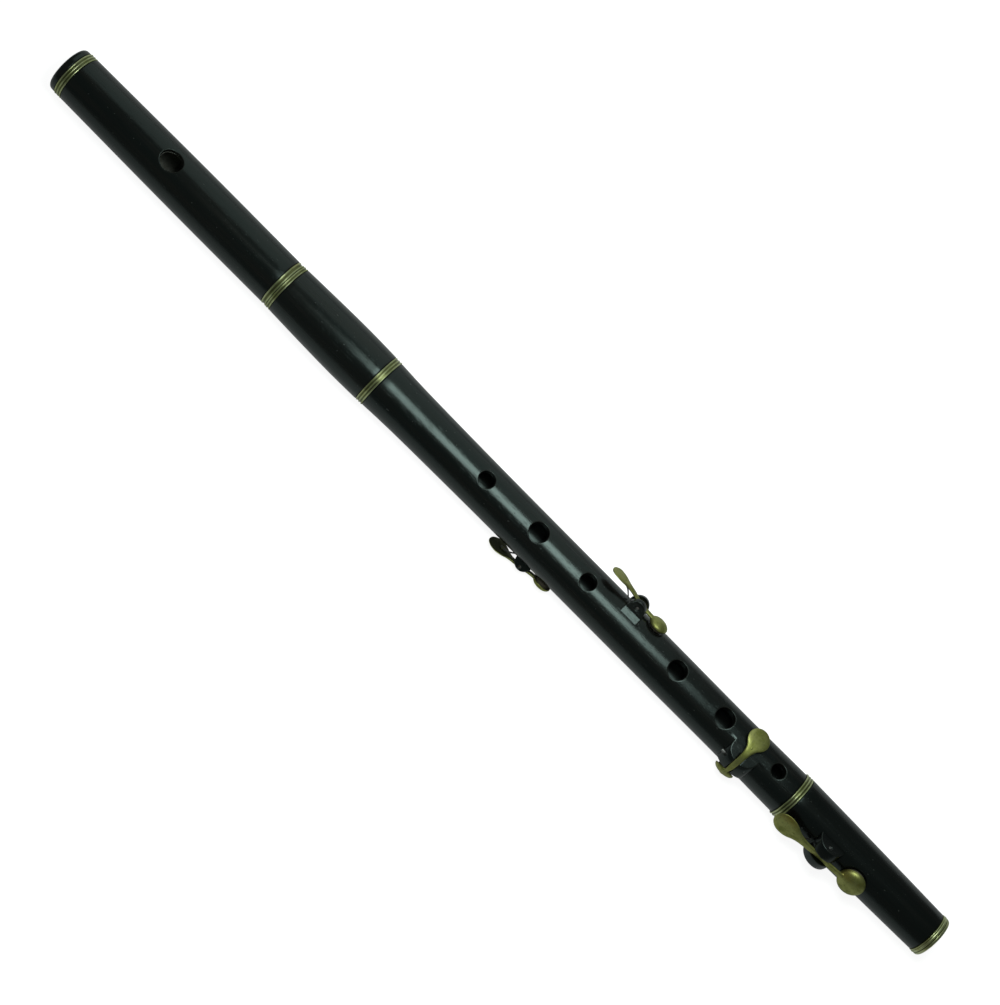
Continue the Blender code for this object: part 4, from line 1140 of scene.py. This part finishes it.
def make_inside(metal, thread, stopper):
    """The lining, the slide tube, the stopper and the three lappings."""
    start, end = CAP_TENON[0] + SEAM, HEAD_LENGTH
    inner, outer = LINER_RADII
    lining = bored_wood(((0.0, outer), (end, outer)), (start, end), ((start, inner), (end, inner)),
                        [Hole(*BLOW_HOLE, rim=LINER_RIM)], HEAD_AT)
    piece("head_lining", mesh_of(lining), metal, "head", "brass", "head_liner")

    inner, outer = SLIDE_RADII
    end = BARREL_LENGTH - UPPER_TENON[0] - 2 * SEAM
    tube = [(-SLIDE_OVERLAP, outer), (end, outer), (end, inner), (-SLIDE_OVERLAP, inner)]
    piece("slide_tube", mesh_of(turned(eased(tube, 0.12), x=BARREL_AT)), metal, "barrel", "brass",
          "tuning_slide_tube")

    face = BLOW_HOLE_AT - STOPPER_SETBACK
    back = face - STOPPER_LENGTH
    plug = LINER_RADII[0] - SEAM
    long, deep = STOPPER_EDGE
    outline = [(back, 0.0), (back, plug - deep), (back + long, plug), (face - long, plug),
               (face, plug - deep), (face, 0.0)]
    piece("stopper_plug", mesh_of(turned(eased(outline, closed=False), x=HEAD_AT)), stopper, "stopper",
          "cork", "stopper_cork")

    tree = thread_tree()
    for name, start, (tenon, radius), margin, body, node in (
        ("cap", CAP_LENGTH, CAP_TENON, CAP_LAPPING_MARGIN, "cap", "end_cap"),
        ("upper", BODY_AT - UPPER_TENON[0], UPPER_TENON, LAPPING_MARGIN, "body", "upper_tenon"),
        ("lower", BODY_AT + BODY_LENGTH, LOWER_TENON, LAPPING_MARGIN, "body", "lower_tenon"),
    ):
        low, high = start + margin + SEAM, start + tenon - margin - SEAM
        length = high - low
        top, bottom = radius - 0.02, radius - LAPPING_DEPTH + SEAM
        core = turned(eased([(0.0, top), (length, top), (length, bottom), (0.0, bottom)], 0.1, 2))
        run = length - 2 * THREAD_RADIUS
        mesh = grown(tree, core.moved(shift(-THREAD_RADIUS)), thread_radius=THREAD_RADIUS,
                     winding_radius=radius + LAPPING_STAND - THREAD_RADIUS,
                     turns=run / THREAD_PITCH, length=run, thread=thread)
        mesh.transform(shift(low + THREAD_RADIUS))
        piece(f"{name}_thread", mesh, thread, body, "waxed_thread", f"{node}_lapping", sharp=80.0)


# Keys

def lever_point(key, radius, at):
    """The middle of the lever at a distance along it, and the way out of the wood there, about the pin."""
    height = radius + on_curve(key.lever_heights, at)
    pin = radius + key.pin_height
    if not key.cross:
        return Vector((at, 0.0, height - pin)), Vector((0.0, 0.0, 1.0))
    a = key.round_wood(radius, at)
    up = Vector((math.sin(a), 0.0, math.cos(a)))
    return up * height - Vector((0.0, 0.0, pin)), up


def lever_half_width(key, at):
    """Half the lever's width: a rounded touch that draws in to the neck."""
    out = at - key.touch_at
    if out < 0:
        return key.touch_half_width * math.sqrt(max(1 - (out / (key.tip_at - key.touch_at)) ** 2, 0.0))
    leave = TOUCH_ROUND * key.touch_taper
    if out < leave:
        return key.touch_half_width * math.sqrt(1 - (out / key.touch_taper) ** 2)
    width = key.touch_half_width * math.sqrt(1 - TOUCH_ROUND**2)
    slope = (key.touch_half_width / key.touch_taper) ** 2 * leave / width
    spare = width - key.neck_half_width
    slim = key.tail_slims * min(max((at - 2.0) / 3.0, 0.0), 1.0)
    return key.neck_half_width - slim + spare * math.exp(-(out - leave) * slope / spare)


def lever_section(key, radius, at):
    """A rounded cross-section; the touch is a crowned plate with a thin edge."""
    middle, out = lever_point(key, radius, at)
    width = lever_half_width(key, at)
    share = min(max((at - key.touch_at) / (0.6 * -key.touch_at), 0.0), 1.0)
    thick = TOUCH_THICKNESS + (LEVER_THICKNESS - TOUCH_THICKNESS) * share
    thick *= math.sqrt(min((at - key.tip_at) / 0.6 + 0.08, 1.0))
    crown = TOUCH_CROWN * (1 - share)
    roll = math.radians(key.touch_roll) * (1 - share)
    across = Vector((0.0, math.cos(roll), 0.0)) + out * math.sin(roll)
    up = out * math.cos(roll) - Vector((0.0, math.sin(roll), 0.0))
    wide_power, high_power = LEVER_FULLNESS
    points = []
    for cos, sin in arc(LEVER_COLUMNS, TAU)[:-1]:
        side = math.copysign(abs(cos) ** wide_power, cos)
        rise = math.copysign(abs(sin) ** high_power, sin) * 0.5 * thick
        rise -= crown * side * side * (width / key.touch_half_width)
        points.append(middle + up * rise + across * (side * width))
    return points


def lever_stations(key):
    tip = key.touch_at - key.tip_at
    shares = np.linspace(0.07, 1.0, TOUCH_SECTIONS)
    round_end = [key.touch_at - tip * math.cos(TAU / 4 * share) for share in shares]
    run = key.cup_at - key.touch_at
    return round_end + [key.touch_at + run * i / NECK_SECTIONS for i in range(1, NECK_SECTIONS + 1)]


def cup_outline(key, radius):
    rim = radius + key.rim_height
    lip = rim + CUP_LIP
    dome = [(lip + key.dome_height * sin, key.cup_radius * cos) for cos, sin in arc(DOME_ROWS)[:-1]]
    return [(rim, 0.0), (rim, key.cup_radius - CUP_EDGE), (rim + CUP_EDGE, key.cup_radius), *dome,
            (lip + key.dome_height, 0.0)]


def cup_hollow(key, radius):
    rim = radius + key.rim_height
    inner = key.cup_radius - CUP_WALL
    depth = CUP_LIP + key.dome_height - CUP_WALL
    vault = [(rim + depth * sin, inner * cos) for cos, sin in arc(VAULT_ROWS)[:-1]]
    return [(rim - CUT_PAST, 0.0), (rim - CUT_PAST, inner), *vault, (rim + depth, 0.0)]


def key_metal(key, radius, stand):
    """Lever, lug and cup skinned into one, then hollowed for the pad and drilled for the pin."""
    plate = lofted([lever_section(key, radius, at) for at in lever_stations(key)])
    top = lever_point(key, radius, 0.0)[0].z
    lug = [(-LUG_RADIUS * cos, -LUG_RADIUS * sin) for cos, sin in arc(LUG_ROWS, TAU / 2)]
    lug += [(LUG_SPREAD * LUG_RADIUS, top), (-LUG_SPREAD * LUG_RADIUS, top)]
    lug = prism(lug, -key.neck_half_width, key.neck_half_width).moved(SIDEWAYS)
    cup, hollow = (turned(outline(key, radius), CUP_COLUMNS).moved(stand)
                   for outline in (cup_outline, cup_hollow))
    solid = worked(mesh_of(plate + lug + cup), [], KEY_VOXEL, 4)
    wear_edges(solid, *KEY_WEAR)
    reach = 2 * key.neck_half_width
    drill = pin_drill(-reach, reach).moved(SIDEWAYS)
    return worked(solid, [("DIFFERENCE", mesh_of(hollow)), ("DIFFERENCE", mesh_of(drill))])


def pad_form(key, radius, seat_radius):
    """A stuffed pad from its seat on the wood up into its cup, soft at its lower edge."""
    under = seat_level(key, seat_radius) + SEAM
    over = radius + key.rim_height + PAD_SINK
    rim = key.pad_radius
    soft = PAD_SOFT * (over - under)
    roll = PAD_ROLL * soft
    outline = [(under, 0.0), (under, PAD_FLAT * rim), (under + 0.05, rim - roll)]
    outline += [(under + soft * (1 - math.cos(a)), rim - roll + roll * math.sin(a))
                for a in np.linspace(0.3, TAU / 4, 6)]
    outline += [(over, rim), (over, 0.0)]
    return turned(eased(outline, 0.2, 3, closed=False), PAD_COLUMNS)


def rivet_form(drop):
    low = -drop - SPRING_THICKNESS / 2 - RIVET_HEAD
    high = LEVER_THICKNESS / 2 + RIVET_HEAD / 2
    return turned([(low, 0.0), (low + 0.03, 0.5 * RIVET_RADIUS), (low + 0.12, RIVET_RADIUS),
                   (high - 0.1, RIVET_RADIUS), (high - 0.02, 0.6 * RIVET_RADIUS), (high, 0.0)], SMALL_COLUMNS)


def pin_form(key):
    """A pin with painted shade along its middle, so that it is bright only near its ends."""
    low, high = pin_span(key)
    middle, half = (low + high) / 2, (high - low) / 2
    unshaded, dark = half - PIN_UNSHADED_END, half - (PIN_UNSHADED_END + PIN_FADE)
    outline = [(low, 0.0), (low, PIN_RADIUS)]
    outline += [(middle + at, PIN_RADIUS) for at in (-unshaded, -dark, dark, unshaded)]
    outline += [(high, PIN_RADIUS), (high, 0.0)]
    shape = turned(eased(outline, 0.18, 3, closed=False), SMALL_COLUMNS)
    shape.marks["groove"] = (abs(shape.points[:, 0] - middle) < (unshaded + dark) / 2).astype(float)
    return shape


def spring_form(key, radius, drop):
    """A leaf riveted under the touch that bends down to the wood beside the block, where its bend starts,
    and its tip."""
    start, bend = key.rivet_at - SPRING_FLAT, key.rivet_at + SPRING_FLAT
    sections = []
    for at in (start, start + 0.3, key.rivet_at, bend):
        middle, up = lever_point(key, radius, at)
        sections.append((middle - up * drop, up))
    flat = len(sections) - 1
    first = sections[flat][0]
    along = (first - sections[0][0]).normalized()
    tip = lever_point(key, radius, key.spring_tip_at)[0]
    if key.cross:
        tip.z = PLAY + SPRING_THICKNESS - (LUG_RADIUS + SLOT_PLAY)
    else:
        tip.z = SPRING_THICKNESS + PLAY - key.pin_height
    span = (tip - first).length
    arrival = (along - Vector((0.0, 0.0, 0.6))).normalized()
    controls = (first, first + along * 0.35 * span, tip - arrival * 0.3 * span, tip)
    for i in range(1, SPRING_SECTIONS + 1):
        t = i / SPRING_SECTIONS
        weights = ((1 - t) ** 3, 3 * t * (1 - t) ** 2, 3 * t * t * (1 - t), t**3)
        point = sum((c * w for c, w in zip(controls, weights)), Vector((0.0, 0.0, 0.0)))
        way = (point - sections[-1][0]).normalized()
        sections.append((point, Vector((-way.z, 0.0, way.x))))
    rings = []
    for i, (point, up) in enumerate(sections):
        taper = 1.0 - SPRING_TAPER * max(i - flat, 0) / SPRING_SECTIONS
        half = SPRING_HALF_WIDTH * (SPRING_END if i == 0 else 1.0) * taper
        corners = ((half, -0.35), (half, 0.35), (0.85 * half, 0.5), (-0.85 * half, 0.5), (-half, 0.35),
                   (-half, -0.35), (-0.85 * half, -0.5), (0.85 * half, -0.5))
        rings.append([point + up * rise * SPRING_THICKNESS + Vector((0.0, side, 0.0))
                      for side, rise in corners])
    return lofted(rings), first, tip


def make_key(key, curve, joint_at, joint_body, metal, steel, leather):
    name, body = key.name, f"{key.name}_key"
    radius = on_curve(curve, key.pin_at)
    pin_radius = radius + key.pin_height
    line = shift(joint_at + key.pin_at) @ facing(key.angle) @ shift(z=pin_radius)
    lever = line @ rotation("Z", -TAU / 4) if key.cross else line
    stand = shift(0.0 if key.cross else key.cup_at, -pin_radius) @ upright(
        lever_point(key, radius, key.cup_at)[1])

    solid = key_metal(key, radius, stand)
    solid.transform(lever)
    # Painted shade on the key's underside, where it faces the wood.
    painted_shade_underside(solid)
    piece(f"{name}_lever", solid, metal, body, "brass", f"{name}_key")

    pad = mesh_of(pad_form(key, radius, on_curve(curve, key.hole_at)).moved(lever @ stand))
    piece(f"{name}_stuffed_pad", pad, leather, body, "pad_leather", f"{name}_pad")

    drop = LEVER_THICKNESS / 2 + PLAY + SPRING_THICKNESS / 2
    shape, bend, tip = spring_form(key, radius, drop)
    spring = mesh_of(shape.moved(lever))
    start, end = (TO_MODEL @ lever @ bend.lerp(tip, share) for share in (0.15, 0.95))
    piece(f"{name}_leaf_spring", spring, steel, (body, joint_body, start, end), "spring_steel",
          f"{name}_spring")

    middle, out = lever_point(key, radius, key.rivet_at)
    rivet = mesh_of(rivet_form(drop).moved(lever @ (Matrix.Translation(middle) @ upright(out))))
    piece(f"{name}_rivet", rivet, metal, body, "brass", f"{name}_spring_rivet")

    pin = mesh_of(pin_form(key).moved(line if key.cross else line @ SIDEWAYS))
    piece(f"{name}_pin", pin, steel, joint_body, "spring_steel", f"{name}_axle_pin")


# Stage

VIEW_TILT = math.radians(18.0)
VIEW_DISTANCE = 1.15
VIEW_LENS = 83.63
VIEW_CENTRE = (-0.00015, 0.0001)
VIEW_ROLL = 0.00304
LAMP_COLOUR = (0.94, 1.0, 0.98)
ROOM_COLOUR = (0.92, 1.0, 0.97, 1.0)
ROOM_STRENGTH = 0.09
WHITE = (1.0, 1.0, 1.0, 1.0)
GROUND_HALF = 4.0
GROUND_GAP = 0.0001


def make_camera():
    """Looks straight at the flute, which is rolled a little toward the picture's lower left."""
    across = Vector((0.0, math.cos(VIEW_TILT), math.sin(VIEW_TILT)))
    back = Vector((0.0, -math.sin(VIEW_TILT), math.cos(VIEW_TILT)))
    along = Vector((1.0, 0.0, 0.0))
    s = (along + across * VIEW_ROLL).normalized()
    t = (across - along * VIEW_ROLL).normalized()
    right, up = (s + t).normalized(), (t - s).normalized()
    camera = placed("camera", bpy.data.cameras.new("camera"))
    camera.data.sensor_fit = "HORIZONTAL"
    camera.data.sensor_width = 36.0
    camera.data.lens = VIEW_LENS
    camera.data.clip_start = 0.01
    at = Vector((VIEW_CENTRE[0], 0.0, AXIS_HEIGHT)) + across * VIEW_CENTRE[1] + back * VIEW_DISTANCE
    camera.matrix_world = Matrix.Translation(at) @ Matrix((right, up, back)).transposed().to_4x4()
    bpy.context.scene.camera = camera


def area_light(name, at, toward, size, power):
    lamp = bpy.data.lights.new(name, "AREA")
    lamp.shape = "RECTANGLE"
    lamp.size, lamp.size_y = size
    lamp.energy = power
    lamp.color = LAMP_COLOUR
    obj = placed(name, lamp)
    obj.visible_camera = False
    way = Vector(toward) - Vector(at)
    obj.matrix_world = Matrix.Translation(at) @ way.to_track_quat("-Z", "Y").to_matrix().to_4x4()


def make_lights():
    area_light("softbox", at=(0.027, 0.008, 0.60), toward=(0.027, 0.008, 0.0), size=(0.254, 0.28), power=1.62)
    area_light("side_panel", at=(-0.34, 1.007, 0.660), toward=(-0.34, 0.061, -0.079), size=(1.12, 1.45),
               power=2.4)

    world = bpy.data.worlds.new("studio")
    bpy.context.scene.world = world
    world.use_nodes = True
    world.node_tree.nodes.clear()
    g = Graph(world.node_tree)
    camera = g.node("ShaderNodeLightPath", output="Is Camera Ray")
    room = g.node("ShaderNodeBackground", {"Color": ROOM_COLOUR, "Strength": ROOM_STRENGTH})
    white = g.node("ShaderNodeBackground", {"Color": WHITE, "Strength": 1.0})
    mixed = g.node("ShaderNodeMixShader", {0: camera, 1: room, 2: white})
    g.node("ShaderNodeOutputWorld", {"Surface": mixed})


def make_floor():
    """A white ground just under the lowest key touch."""
    low, half = CAD_BOX[0].z - GROUND_GAP, GROUND_HALF
    corners = [(x * half, y * half, low) for x, y in ((-1, -1), (1, -1), (1, 1), (-1, 1))]
    mesh = bpy.data.meshes.new("ground")
    mesh.from_pydata(corners, [], [(0, 1, 2, 3)])
    made, g = new_finish("paper_ground")
    path = g.node("ShaderNodeLightPath", output="Is Camera Ray")
    glossy = path.output("Is Glossy Ray")
    colour = g.mix(g.noise(900.0, detail=3.0), (0.54, 0.54, 0.54), (0.57, 0.57, 0.57))
    surface(made, g, Base_Color=colour, Roughness=0.9, Specular_IOR_Level=0.1, Emission_Color=WHITE,
            Emission_Strength=path * 0.90 + glossy * 0.14)
    mesh.materials.append(made)
    obj = placed("ground", mesh)


def build():
    wood = {name: blackwood(f"blackwood_{name}", (0.0, 7.0 * i, 3.0 * i), painted_light)
            for i, (name, painted_light) in enumerate(WOOD_PAINTED_LIGHT.items())}
    turned_brass, key_brass, painted_shade_tube_brass = (brass(name) for name in BRASSES)
    steel, thread, leather = spring_steel(), waxed_thread(), pad_leather()
    make_joints(wood)
    make_rings(turned_brass)
    # The lining and the slide tube take the brass that is painted dark as shade.
    make_inside(painted_shade_tube_brass, thread, cork())
    for key in BODY_KEYS:
        make_key(key, BODY_CURVE, BODY_AT, "body", key_brass, steel, leather)
    make_key(D_SHARP, FOOT_CURVE, FOOT_AT, "foot", key_brass, steel, leather)
    make_camera()
    make_lights()
    make_floor()


build()
bpy.context.scene.view_settings.view_transform = "Standard"
